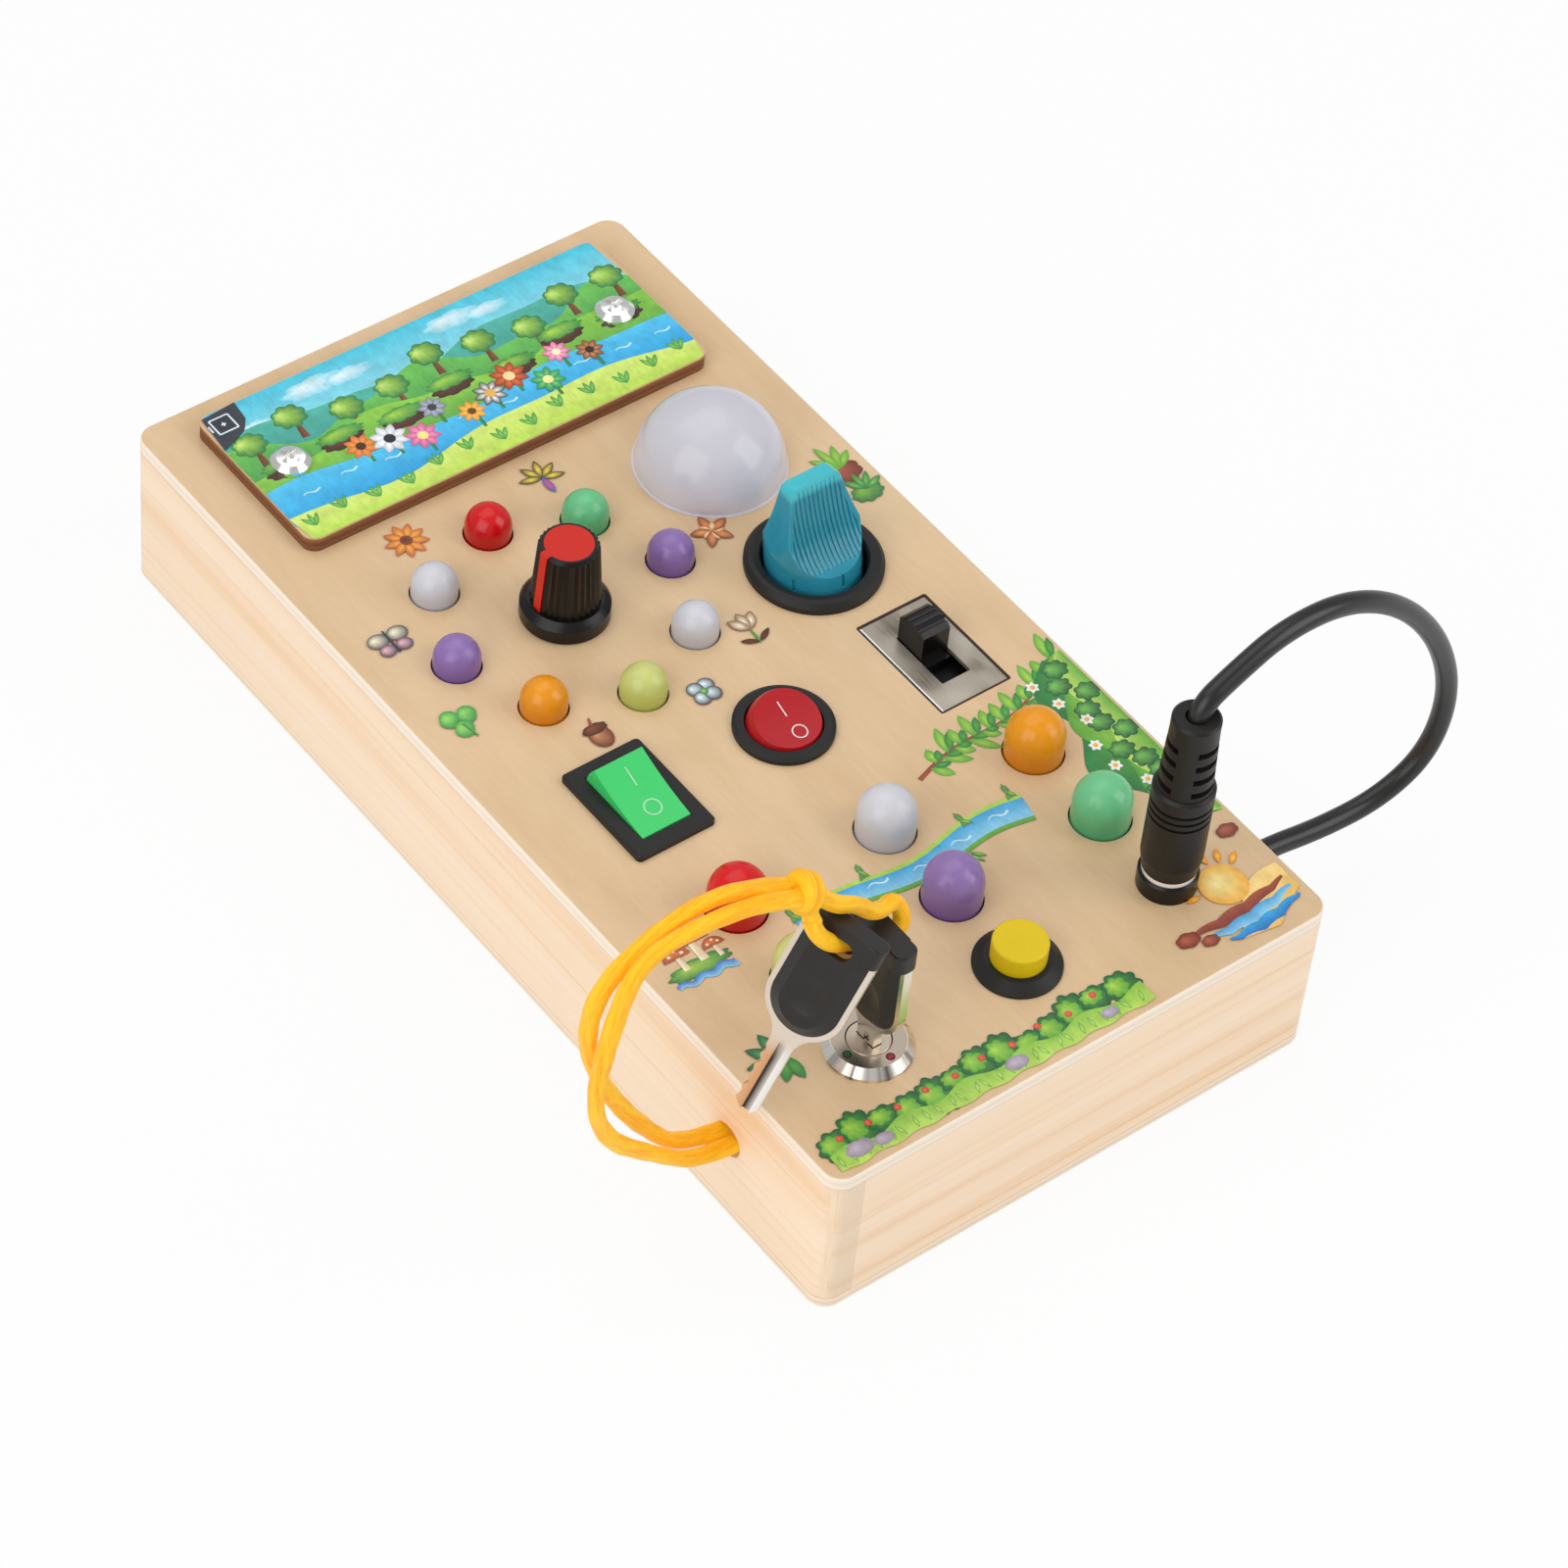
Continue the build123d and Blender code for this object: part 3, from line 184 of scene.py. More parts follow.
room = Finish("studio", bpy.data.worlds)
room_seen = room.node("LightPath", output="Is Camera Ray")
room_light = room.node("Background", {}, {"Color": (0.97, 0.98, 1.0, 1), "Strength": 0.5})
room_white = room.node("Background", {}, {"Color": (1, 1, 1, 1), "Strength": 1.0})
room.close(room.node("MixShader", {}, {0: room_seen, 1: room_light, 2: room_white}), "OutputWorld")
bpy.context.scene.world = room.material


# --- Box ------------------------------------------------------------------------
# Four pine rails, the long ones lapping the ends of the short ones, glued between
# a plywood top and base. Sanded, its upright corners rounded, left unvarnished.

def ink(code):
    """Linear colour from a six-figure paint code."""
    parts = [int(code[i:i + 2], 16) / 255 for i in (0, 2, 4)]
    return tuple(c / 12.92 if c <= 0.04045 else ((c + 0.055) / 1.055) ** 2.4 for c in parts) + (1.0,)


def dress(finish, *names):
    """Gives CAD pieces their finish."""
    for name in names:
        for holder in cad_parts[name].material_slots:
            holder.material = finish


panel_low, panel_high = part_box("top_panel")
base_low, base_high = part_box("base_panel")
rail_low, rail_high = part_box("rail_left")


def pine(name, sawn_share):
    """Softwood rail: lines along each face, faint growth bands, joints at top and
    bottom. The rail's own ends show end grain only where it laps its neighbours."""
    wood = Finish(name)
    place = wood.node("TexCoord", output="Object")
    normal = wood.node("TexCoord", output="Normal")
    facing = abs(wood.node("SeparateXYZ", {}, {0: normal}, "Y"))
    turned = wood.node("MapRange", {}, {"Value": facing, "From Min": 0.55, "From Max": 0.8})
    stretch = wood.node("Mix", {"data_type": "VECTOR"}, {0: turned, 4: (1.0, 0.03, 1.0), 5: (0.03, 1.0, 1.0)}, 1)
    drawn = wood.node("VectorMath", {"operation": "MULTIPLY"}, {0: place, 1: stretch})
    warp = wood.node("TexNoise", {}, {"Vector": drawn, "Scale": 120.0, "Detail": 2.0}, "Color")
    bent = wood.node("VectorMath", {"operation": "MULTIPLY_ADD"}, {0: warp, 1: (0.004, 0.004, 0.006), 2: drawn})
    rings = wood.node("TexWave", {"wave_type": "BANDS", "bands_direction": "Z", "wave_profile": "SAW"},
                      {"Vector": bent, "Scale": 118.0, "Distortion": 1.2, "Detail": 2.0, "Detail Scale": 1.5}, 1)
    lines = wood.node("MapRange", {"interpolation_type": "SMOOTHSTEP"},
                      {"Value": rings, "From Min": 0.55, "From Max": 1.0})
    bands = wood.node("TexNoise", {}, {"Vector": drawn, "Scale": 135.0, "Detail": 1.5})
    where = wood.node("TexNoise", {}, {"Vector": drawn, "Scale": 210.0, "Detail": 1.0})
    fibres = wood.node("TexNoise", {}, {"Vector": drawn, "Scale": 1500.0, "Detail": 3.0})
    shown = wood.node("MapRange", {}, {"Value": where, "From Min": 0.4, "From Max": 0.68})
    tone = bands * 0.75 + lines * shown * 0.17 + fibres * 0.16 + 0.05
    shade = wood.node("ValToRGB", {"stops": [(0.30, ink("ffebd2")), (0.52, ink("fde2c2")), (0.72, ink("f3cb9c")),
                                             (0.92, ink("e6b682"))]}, {"Fac": tone})
    sawn = wood.node("MapRange", {}, {"Value": facing, "From Min": 0.75, "From Max": 0.97})
    pores = wood.node("TexNoise", {}, {"Vector": place, "Scale": 2300.0, "Detail": 3.0})
    cut = wood.mix(pores, ink("cdb59a"), ink("f3dcc0"))
    colour = wood.mix(sawn * sawn_share, shade, cut)
    half, seam = (rail_high[2] - rail_low[2]) / 2, 0.00025
    from_middle = abs(wood.node("SeparateXYZ", {}, {0: place}, "Z") - (rail_low[2] + rail_high[2]) / 2)
    joint = wood.node("MapRange", {}, {"Value": from_middle, "From Min": half - seam, "From Max": half})
    glued = wood.mix(joint * 0.45, colour, ink("c99a6a"))
    relief = wood.node("Bump", {}, {"Height": fibres + lines * 0.3, "Strength": 0.18, "Distance": 0.00008})
    rough = fibres * 0.12 + 0.42
    return wood.surface({"Base Color": glued, "Roughness": rough, "Normal": relief})


def plywood(name, face_light, face_dark, edge_light, edge_dark, low, high):
    """Birch plywood: soft mottling along the board, plies at its outer edges and
    scorched brown walls where a laser has cut its holes."""
    wood = Finish(name)
    place = wood.node("TexCoord", output="Object")
    drawn = wood.node("Mapping", {}, {"Vector": place, "Scale": (1.0, 0.16, 1.0)})
    flecks = wood.node("TexNoise", {}, {"Vector": drawn, "Scale": 1300.0, "Detail": 2.0})
    clouds = wood.node("TexNoise", {}, {"Vector": drawn, "Scale": 150.0, "Detail": 3.0})
    broad = wood.node("TexNoise", {}, {"Vector": place, "Scale": 26.0, "Detail": 1.0})
    tone = flecks * 0.22 + clouds * 0.5 + broad * 0.35
    face = wood.node("ValToRGB", {"stops": [(0.36, face_light), (0.72, face_dark)]}, {"Fac": tone})
    normal = wood.node("TexCoord", output="Normal")
    up = abs(wood.node("SeparateXYZ", {}, {0: normal}, "Z"))
    level = (wood.node("SeparateXYZ", {}, {0: place}, "Z") - low) * (1 / (high - low))
    plies = wood.node("ValToRGB", {"stops": [(0.0, edge_dark), (0.12, edge_light), (0.36, edge_light),
                                             (0.42, edge_dark), (0.6, edge_dark), (0.66, edge_light),
                                             (1.0, edge_light)]}, {"Fac": level})
    across = abs(wood.node("SeparateXYZ", {}, {0: place}, "X"))
    along = abs(wood.node("SeparateXYZ", {}, {0: place}, "Y"))
    rim = 0.004
    inside = (across < panel_high[0] - rim) * (along < panel_high[1] - rim)
    edge = wood.mix(inside, plies, ink("4a2a18"))
    side = wood.node("MapRange", {}, {"Value": up, "From Min": 0.95, "From Max": 0.7})
    colour = wood.mix(side, face, edge)
    relief = wood.node("Bump", {}, {"Height": flecks, "Strength": 0.1, "Distance": 0.00004})
    rough = clouds * 0.1 + 0.36
    return wood.surface({"Base Color": colour, "Roughness": rough, "Normal": relief})


dress(pine("lapped_pine", 0.5), "rail_left")
dress(pine("butted_pine", 0.0), "rail_right", "rail_front", "rail_back")
dress(plywood("top_ply", ink("e4c59c"), ink("d6b488"), ink("fbeddb"), ink("f5e4cc"), panel_low[2],
              panel_high[2]), "top_panel")
dress(plywood("base_ply", ink("ecd2ac"), ink("dcbd92"), ink("fbe8cf"), ink("f2dabb"), base_low[2],
              base_high[2]), "base_panel")


# --- Printed deck ---------------------------------------------------------------
# Inks printed straight on the top panel: leaves, a brook, shrubs, a low sun over
# waves and eight small stickers round the ring of lamps. All motifs are plain ones.

print_gap, ink_thickness = 0.00003, 0.0000008


class Picture:
    """Flat painted shapes laid one over another just above a board, cut off at a
    rounded rectangle a little inside its edges. Places are in millimetres."""

    def __init__(self, board, inset, corner):
        low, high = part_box(board)
        self.level, self.corner = high[2] + print_gap, corner
        self.left, self.right = low[0] / mm + inset, high[0] / mm - inset
        self.low, self.high = low[1] / mm + inset, high[1] / mm - inset
        self.spots, self.faces, self.inks, self.count = [], [], [], 0

    def trimmed(self, x, y):
        """The nearest place inside the outline."""
        hub_x = min(max(x, self.left + self.corner), self.right - self.corner)
        hub_y = min(max(y, self.low + self.corner), self.high - self.corner)
        away = sqrt((x - hub_x) ** 2 + (y - hub_y) ** 2)
        share = min(1.0, self.corner / away) if away else 1.0
        return hub_x + (x - hub_x) * share, hub_y + (y - hub_y) * share

    def start(self, points, colours):
        """Adds a shape's points on a new layer of ink."""
        first = len(self.spots)
        height = self.level + self.count * ink_thickness
        self.count += 1
        for point in points:
            x, y = self.trimmed(*point)
            self.spots.append((x * mm, y * mm, height))
        self.inks += colours
        return first

    def fan(self, centre, rim, heart, edge):
        """A shape shaded from its centre out to its rim."""
        first = self.start([centre] + rim, [heart] + [edge] * len(rim))
        count = len(rim)
        self.faces += [(first, first + 1 + i, first + 1 + (i + 1) % count) for i in range(count)]

    def band(self, one, other, ink_one, ink_other):
        """A strip between two lines of as many points."""
        first = self.start(one + other, [ink_one] * len(one) + [ink_other] * len(other))
        count = len(one)
        self.faces += [(first + i, first + i + 1, first + count + i + 1, first + count + i)
                       for i in range(count - 1)]

    def blob(self, x, y, wide, tall, heart, edge, lobes=0, depth=0.0, turn=0.0):
        """Round or scalloped shape, lit from its upper left."""
        rim, around = [], 48
        for step in range(around):
            angle = 2 * pi * step / around
            reach = 1 - depth * (1 - abs(sin(lobes * angle / 2 + turn))) if lobes else 1.0
            rim.append((x + wide * reach * cos(angle), y + tall * reach * sin(angle)))
        self.fan((x - 0.3 * wide, y + 0.3 * tall), rim, heart, edge)

    def leaf(self, x, y, angle, length, width, heart, edge):
        """Pointed leaf from its foot."""
        way, across = (cos(radians(angle)), sin(radians(angle))), (-sin(radians(angle)), cos(radians(angle)))
        rim, halfway = [], 9
        for side in (1, -1):
            for step in range(halfway):
                t = step / halfway if side == 1 else 1 - step / halfway
                half = side * width / 2 * sin(pi * t) ** 0.8 if 0 < t < 1 else 0.0
                rim.append((x + way[0] * length * t + across[0] * half, y + way[1] * length * t + across[1] * half))
        self.fan((x + way[0] * length * 0.45, y + way[1] * length * 0.45), rim, heart, edge)

    def stroke(self, points, start_width, end_width, one, other):
        """Brush stroke along a line, tapering from one width to the other."""
        left, right = [], []
        for number, (x, y) in enumerate(points):
            ahead = points[min(number + 1, len(points) - 1)]
            behind = points[max(number - 1, 0)]
            dx, dy = ahead[0] - behind[0], ahead[1] - behind[1]
            long = sqrt(dx * dx + dy * dy)
            half = (start_width + (end_width - start_width) * number / (len(points) - 1)) / 2
            left.append((x - dy / long * half, y + dx / long * half))
            right.append((x + dy / long * half, y - dx / long * half))
        self.band(left, right, one, other)

    def piece(self, name, finish, body):
        """The picture as one thin piece on a body."""
        print_piece = flat_object(name, self.spots, self.faces)
        layer = print_piece.data.color_attributes.new("ink", "FLOAT_COLOR", "POINT")
        for number, colour in enumerate(self.inks):
            layer.data[number].color = colour
        print_piece.data.materials.append(finish)
        for face in print_piece.data.polygons:
            if face.normal.z < 0:
                face.flip()
        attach(print_piece, body)
        return print_piece


def printed_ink(name, roughness):
    """Printed colour with the slight mottle of ink on wood."""
    paint = Finish(name)
    laid = paint.node("VertexColor", {"layer_name": "ink"})
    place = paint.node("TexCoord", output="Object")
    grain = paint.node("Mapping", {}, {"Vector": place, "Scale": (1.0, 0.3, 1.0)})
    fine = paint.node("TexNoise", {}, {"Vector": grain, "Scale": 1600.0, "Detail": 2.0})
    broad = paint.node("TexNoise", {}, {"Vector": place, "Scale": 420.0, "Detail": 2.0})
    strength = fine * 0.3 + broad * 0.5 + 0.6
    grey = paint.node("CombineColor", {}, {0: strength, 1: strength, 2: strength})
    colour = paint.mix(1.0, laid, grey, "MULTIPLY")
    return paint.surface({"Base Color": colour, "Roughness": roughness, "Specular IOR Level": 0.4})


def steps(count):
    """Shares from 0 to 1."""
    return [i / count for i in range(count + 1)]


leaf_light, leaf_mid, leaf_deep, leaf_dark = ink("a9d24f"), ink("5fa83c"), ink("2e7d45"), ink("1f5a3a")
bark, clay, sand, cream = ink("8a4a2b"), ink("a8553a"), ink("f0c264"), ink("fff3d0")
brook, sky_blue, foam, berry = ink("3aa7dc"), ink("8fd0ee"), ink("e6f6fb"), ink("cf3b34")
sun_yellow, sun_orange, pebble = ink("ffd447"), ink("f08a2c"), ink("9b8f9b")

deck_picture = Picture("top_panel", inset=0.8, corner=2.8)

# Scorched line that the laser left round the slide switch's opening
plate_low, plate_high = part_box("slide_frame")
burnt, burnt_gap, burnt_width = ink("3a1f12"), 0.2, 0.4
burnt_left, burnt_right = plate_low[0] / mm - burnt_gap, plate_high[0] / mm + burnt_gap
burnt_front, burnt_back = plate_low[1] / mm - burnt_gap, plate_high[1] / mm + burnt_gap
for first, last in (((burnt_left, burnt_front), (burnt_left, burnt_back)),
                    ((burnt_left, burnt_front), (burnt_right, burnt_front)),
                    ((burnt_right, burnt_front), (burnt_right, burnt_back)),
                    ((burnt_left, burnt_back), (burnt_right, burnt_back))):
    deck_picture.stroke([first, last], burnt_width, burnt_width, burnt, burnt)

# Leafy garland on the right, from the lamps up past the slide switch
garland = [(12.0 + 36 * t, -38.5 + 2.5 * t + 7 * t * t + 1.3 * sin(7 * t)) for t in steps(24)]
deck_picture.stroke(garland, 0.9, 0.35, bark, clay)
for number in range(2, 24):
    x, y = garland[number]
    side = 1 if number % 2 else -1
    length = 4.6 + 1.4 * sin(number * 1.7)
    deck_picture.leaf(x, y, 20 + side * (62 + 8 * sin(number)), length, 2.0, leaf_light, leaf_mid)
    deck_picture.leaf(x + 0.7, y, 24 + side * 38, length * 0.75, 1.5, leaf_mid, leaf_deep)

# Meadow down the right edge: three wavy bands with round shrubs and daisies
for inset, waves, one, other in [(0.0, 2.3, leaf_deep, leaf_mid), (3.2, 1.7, leaf_mid, leaf_light),
                                 (6.4, 1.2, ink("c3df6b"), leaf_mid)]:
    inner, outer = [], []
    for step in range(61):
        y = -70.5 + 42 * step / 60
        swell = sin(pi * step / 60) ** 0.35
        inner.append((deck_picture.right - (11.3 - inset + waves * sin(y / 3.1 + inset)) * swell, y))
        outer.append((deck_picture.right, y))
    deck_picture.band(inner, outer, one, other)
for number in range(12):
    y = -68.0 + 3.3 * number
    x = 45.4 + 1.9 * sin(number * 2.3)
    deck_picture.blob(x, y, 2.5, 2.1, ink("7cc257"), leaf_dark, 7, 0.22, number)
for number in range(7):
    x, y = 41.5 + 1.6 * sin(number * 1.9), -64.0 + 5.2 * number
    for petal in range(6):
        deck_picture.leaf(x, y, 60 * petal + 10 * number, 1.25, 0.8, cream, foam)
    deck_picture.blob(x, y, 0.42, 0.42, sun_yellow, sun_orange)

# Brook between the two rows of lamps, green banks and white ripples
course = [(-23.0 + 46 * t, -52.6 + 1.0 * sin(9.5 * t)) for t in steps(40)]
deck_picture.stroke(course, 4.4, 6.0, ink("b9d65c"), leaf_mid)
deck_picture.stroke(course, 2.8, 4.2, brook, sky_blue)
for number in range(5):
    x = -17.5 + 8.3 * number
    ripple = [(x + 4 * t, -52.4 + 0.9 * sin(9.5 * (x + 23) / 46) + 0.45 * sin(6.3 * t)) for t in steps(10)]
    deck_picture.stroke(ripple, 0.18, 0.5, foam, sky_blue)
for x, y, lean in [(-22.5, -51.5, 95), (-8.4, -50.4, 80), (12.5, -50.6, 100), (22.0, -50.0, 85), (-14.5, -55.0, 265),
                   (8.0, -55.2, 280)]:
    for number in range(-2, 3):
        deck_picture.leaf(x + 0.5 * number, y, lean + 17 * number, 3.6 - 0.4 * abs(number), 0.75, leaf_light, leaf_deep)

# Toadstools on a bank, left of the lamps
deck_picture.blob(-41.0, -50.2, 6.2, 1.9, leaf_light, leaf_deep, 9, 0.18)
deck_picture.stroke([(-46.5 + 11 * t, -52.2 + 0.35 * sin(18 * t)) for t in steps(30)], 1.0, 1.6, ink("3f6fc4"),
                    sky_blue)
for x, y, size in [(-43.0, -49.0, 1.0), (-39.4, -48.4, 1.35), (-36.6, -49.6, 0.8)]:
    deck_picture.stroke([(x, y - 0.8 * size), (x, y + 2.4 * size)], 1.2 * size, 0.8 * size, cream, ink("d9c09a"))
    cap = [(x + 2.5 * size * cos(radians(a)), y + 2.0 * size + 2.4 * size * sin(radians(a))) for a in range(0, 181, 15)]
    deck_picture.fan((x - 0.4 * size, y + 3.2 * size), cap, ink("e0803a"), clay)
    for dx, dy in [(-1.1, 0.9), (0.3, 1.5), (1.2, 0.7)]:
        deck_picture.blob(x + dx * size, y + (2.0 + dy) * size, 0.32 * size, 0.26 * size, cream, cream)

# Shrubs, grass and pebbles along the front edge
for number in range(13):
    x = -45.0 + 4.7 * number
    tall = 3.3 + 0.9 * sin(number * 2.1)
    deck_picture.blob(x, -90.5 + 0.8 * sin(number * 1.3), 3.6, tall, leaf_mid, leaf_dark, 9, 0.2, number)
    deck_picture.blob(x - 0.7, -90.0 + 0.8 * sin(number * 1.3), 2.1, tall * 0.6, leaf_light, leaf_mid, 7, 0.24, number)
lawn_top = [(-47.5 + 62 * i / 60, -91.6 + 0.7 * sin(i * 0.55)) for i in range(61)]
lawn_low = [(x, -95.0 + 0.25 * sin(x * 0.9)) for x, y in lawn_top]
deck_picture.band(lawn_top, lawn_low, ink("8fc24a"), ink("b8d860"))
for number in range(26):
    x = -46.5 + 2.35 * number
    deck_picture.leaf(x, -94.6, 90 + 22 * sin(number * 2.7), 2.6, 0.7, ink("cfe27a"), leaf_mid)
for x, y, size in [(-42.5, -92.6, 1.5), (-38.2, -93.2, 1.1), (-12.0, -93.0, 1.3), (6.5, -93.3, 1.0)]:
    deck_picture.blob(x, y, 1.7 * size, 1.05 * size, ink("c4b8c8"), pebble, 5, 0.08)
for number in range(10):
    x, y = -44.0 + 5.6 * number, -89.5 + 1.3 * sin(number * 3.1)
    deck_picture.blob(x, y, 0.62, 0.62, ink("f0705a"), berry)

# Ferns at the left of the lock
for angle in (60, 95, 130, 165):
    deck_picture.leaf(-41.5, -72.5, angle, 6.4, 2.4, ink("5fb46a"), leaf_dark)
for angle in (200, 235, 270):
    deck_picture.leaf(-41.0, -72.0, angle, 5.2, 2.2, leaf_mid, leaf_deep)

# Low sun over waves in the front right corner
beach = [(34.0 + 14.5 * t, -93.5 + 9.5 * t + 3.4 * sin(pi * t)) for t in steps(24)]
deck_picture.band(beach, [(x * 0.55 + 22.0, -94.6 + 0.2 * t) for t, (x, y) in enumerate(beach)],
                  ink("f7d68a"), sand)
for step in range(7):
    angle = 35 + 24 * step
    deck_picture.leaf(38.5 + 4.6 * cos(radians(angle)), -83.0 + 4.6 * sin(radians(angle)), angle, 3.0, 1.2,
                      sun_yellow, sun_orange)
disc = [(38.5 + 4.2 * cos(radians(a)), -83.0 + 4.2 * sin(radians(a))) for a in range(0, 360, 12)]
deck_picture.fan((37.6, -82.0), disc, ink("fff0a0"), ink("f5b340"))
for row, (one, other) in enumerate([(clay, ink("8a3f35")), (ink("4aa3dc"), sky_blue), (brook, ink("2f77c8"))]):
    crest = [(27.0 + row * 2.5 + (20.5 - 2.5 * row) * t, -88.6 - 2.0 * row + 1.6 * t + 0.45 * abs(sin(11 * t + row)))
             for t in steps(60)]
    trough = [(x, y - 2.2 * sin(pi * (0.08 + 0.84 * t))) for t, (x, y) in zip(steps(60), crest)]
    deck_picture.band(crest, trough, one, other)
for x, y, size in [(26.2, -88.9, 1.2), (29.2, -90.9, 0.9), (46.5, -74.5, 1.1)]:
    deck_picture.blob(x, y, 1.9 * size, 1.3 * size, ink("c06a50"), ink("7b3328"), 6, 0.12)

# Red-brown earth and grasses beside the dome
deck_picture.blob(44.6, 23.5, 3.6, 2.7, ink("b3604a"), ink("7b3a2c"), 7, 0.14)
deck_picture.blob(45.2, 17.6, 3.2, 2.2, ink("8fc24a"), leaf_deep, 9, 0.16)
for angle in (40, 70, 100, 130, 160):
    deck_picture.leaf(44.8, 24.5, angle, 6.5 - 0.03 * abs(angle - 100), 1.5, leaf_light, leaf_mid)
for angle in (20, 55, 90, 125):
    deck_picture.leaf(45.4, 18.2, angle, 4.4, 1.3, ink("7cc257"), leaf_deep)

# Eight stickers: daisy, sprig, star, tulip, round-petalled flower, acorn, clover and butterfly
for number in range(9):
    deck_picture.leaf(-26.2, 50.6, 40 * number + 12, 4.0, 1.68, ink("f6b04a"), ink("c8622a"))
deck_picture.blob(-26.2, 50.6, 1.12, 1.12, ink("5a2f1c"), bark)
for angle in (30, 75, 120, 165, -15):
    deck_picture.leaf(1.2, 50.2, angle, 4.2, 1.5, ink("ffe14a"), ink("2a2a30"))
deck_picture.leaf(1.2, 50.2, -90, 4.0, 1.5, ink("e24a3a"), ink("3a66c0"))
for number in range(5):
    deck_picture.leaf(17.6, 24.6, 90 + 72 * number, 3.9, 1.9, ink("f7a35c"), ink("8a4a2b"))
    deck_picture.leaf(17.6, 24.6, 126 + 72 * number, 2.3, 1.1, cream, ink("e08a4a"))
deck_picture.stroke([(9.0, -0.2), (9.3, 3.4)], 0.5, 0.4, leaf_deep, leaf_mid)
for angle in (55, 90, 125):
    deck_picture.leaf(9.3, 3.0, angle, 4.2, 2.1, cream, ink("8a5a3c"))
deck_picture.leaf(9.1, 0.0, 150, 3.4, 1.1, ink("6a3a22"), ink("4a2818"))
deck_picture.leaf(9.1, 0.0, 30, 3.4, 1.1, ink("6a3a22"), ink("4a2818"))
for angle in (45, 135, 225, 315):
    deck_picture.blob(-5.4 + 1.5 * cos(radians(angle)), -3.9 + 1.5 * sin(radians(angle)), 1.5, 1.5, foam, ink("33333a"))
deck_picture.blob(-5.4, -3.9, 0.7, 0.7, ink("9ccf6a"), leaf_deep)
deck_picture.blob(-25.2, -2.6, 2.0, 2.5, ink("c98a5a"), ink("6e3420"))
deck_picture.blob(-25.2, -0.8, 2.4, 1.2, ink("8a4a2b"), ink("4c2416"), 7, 0.1)
deck_picture.stroke([(-25.2, 0.2), (-24.7, 1.7)], 0.6, 0.4, bark, clay)
for angle in (20, 140, 260):
    deck_picture.blob(-42.2 + 1.8 * cos(radians(angle)), 12.6 + 1.8 * sin(radians(angle)), 1.9, 1.9,
                      ink("9be06a"), ink("3c9a4a"), 2, 0.18, 0.5)
deck_picture.stroke([(-42.2, 11.8), (-41.6, 8.4)], 0.5, 0.4, leaf_mid, leaf_deep)
for side in (1, -1):
    deck_picture.blob(-41.4 + 1.9 * side, 34.2, 1.9, 1.6, cream, ink("4a4a55"))
    deck_picture.blob(-41.4 + 1.6 * side, 31.6, 1.5, 1.3, ink("f3b7c2"), ink("4a4a55"))
deck_picture.stroke([(-41.4, 30.4), (-41.4, 35.8)], 0.55, 0.35, ink("2a2a30"), ink("4a4a55"))

deck_picture.piece("deck_print", printed_ink("deck_ink", 0.42), "case")


# --- Battery cover --------------------------------------------------------------
# Loose plywood plate, laser cut so its edge is scorched brown, with a printed
# landscape on its face. Two pan-head screws hold it over the cells.

cover_low, cover_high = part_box("battery_cover")
cover_board = Finish("cover_board")
cover_place = cover_board.node("TexCoord", output="Object")
cover_drawn = cover_board.node("Mapping", {}, {"Vector": cover_place, "Scale": (0.3, 0.3, 3.0)})
char = cover_board.node("TexNoise", {}, {"Vector": cover_drawn, "Scale": 900.0, "Detail": 4.0})
cover_normal = cover_board.node("TexCoord", output="Normal")
cover_up = abs(cover_board.node("SeparateXYZ", {}, {0: cover_normal}, "Z"))
cover_rise = cover_board.node("SeparateXYZ", {}, {0: cover_place}, "Z") - cover_low[2]
cover_level = cover_rise * (1 / (cover_high[2] - cover_low[2]))
scorched = cover_board.node("ValToRGB", {"stops": [(0.0, ink("5a341e")), (0.34, ink("8a5632")), (0.5, ink("6b3f25")),
                                                   (0.8, ink("93603a")), (1.0, ink("c39262"))]},
                            {"Fac": cover_level * 0.75 + char * 0.3})
cover_side = cover_board.node("MapRange", {}, {"Value": cover_up, "From Min": 0.95, "From Max": 0.7})
cover_colour = cover_board.mix(cover_side, ink("d8b489"), scorched)
dress(cover_board.surface({"Base Color": cover_colour, "Roughness": char * 0.2 + 0.45}), "battery_cover")

cover_picture = Picture("battery_cover", inset=0.2, corner=2.3)


def ridge(base, swell, length, phase, foot, one, other):
    """A hill line right across the picture, down to a foot."""
    crest = [(-41.5 + 83 * i / 90, base + swell * (sin(i / length + phase) + 0.35 * sin(i / length * 2.3)))
             for i in range(91)]
    cover_picture.band(crest, [(x, foot) for x, y in crest], one, other)


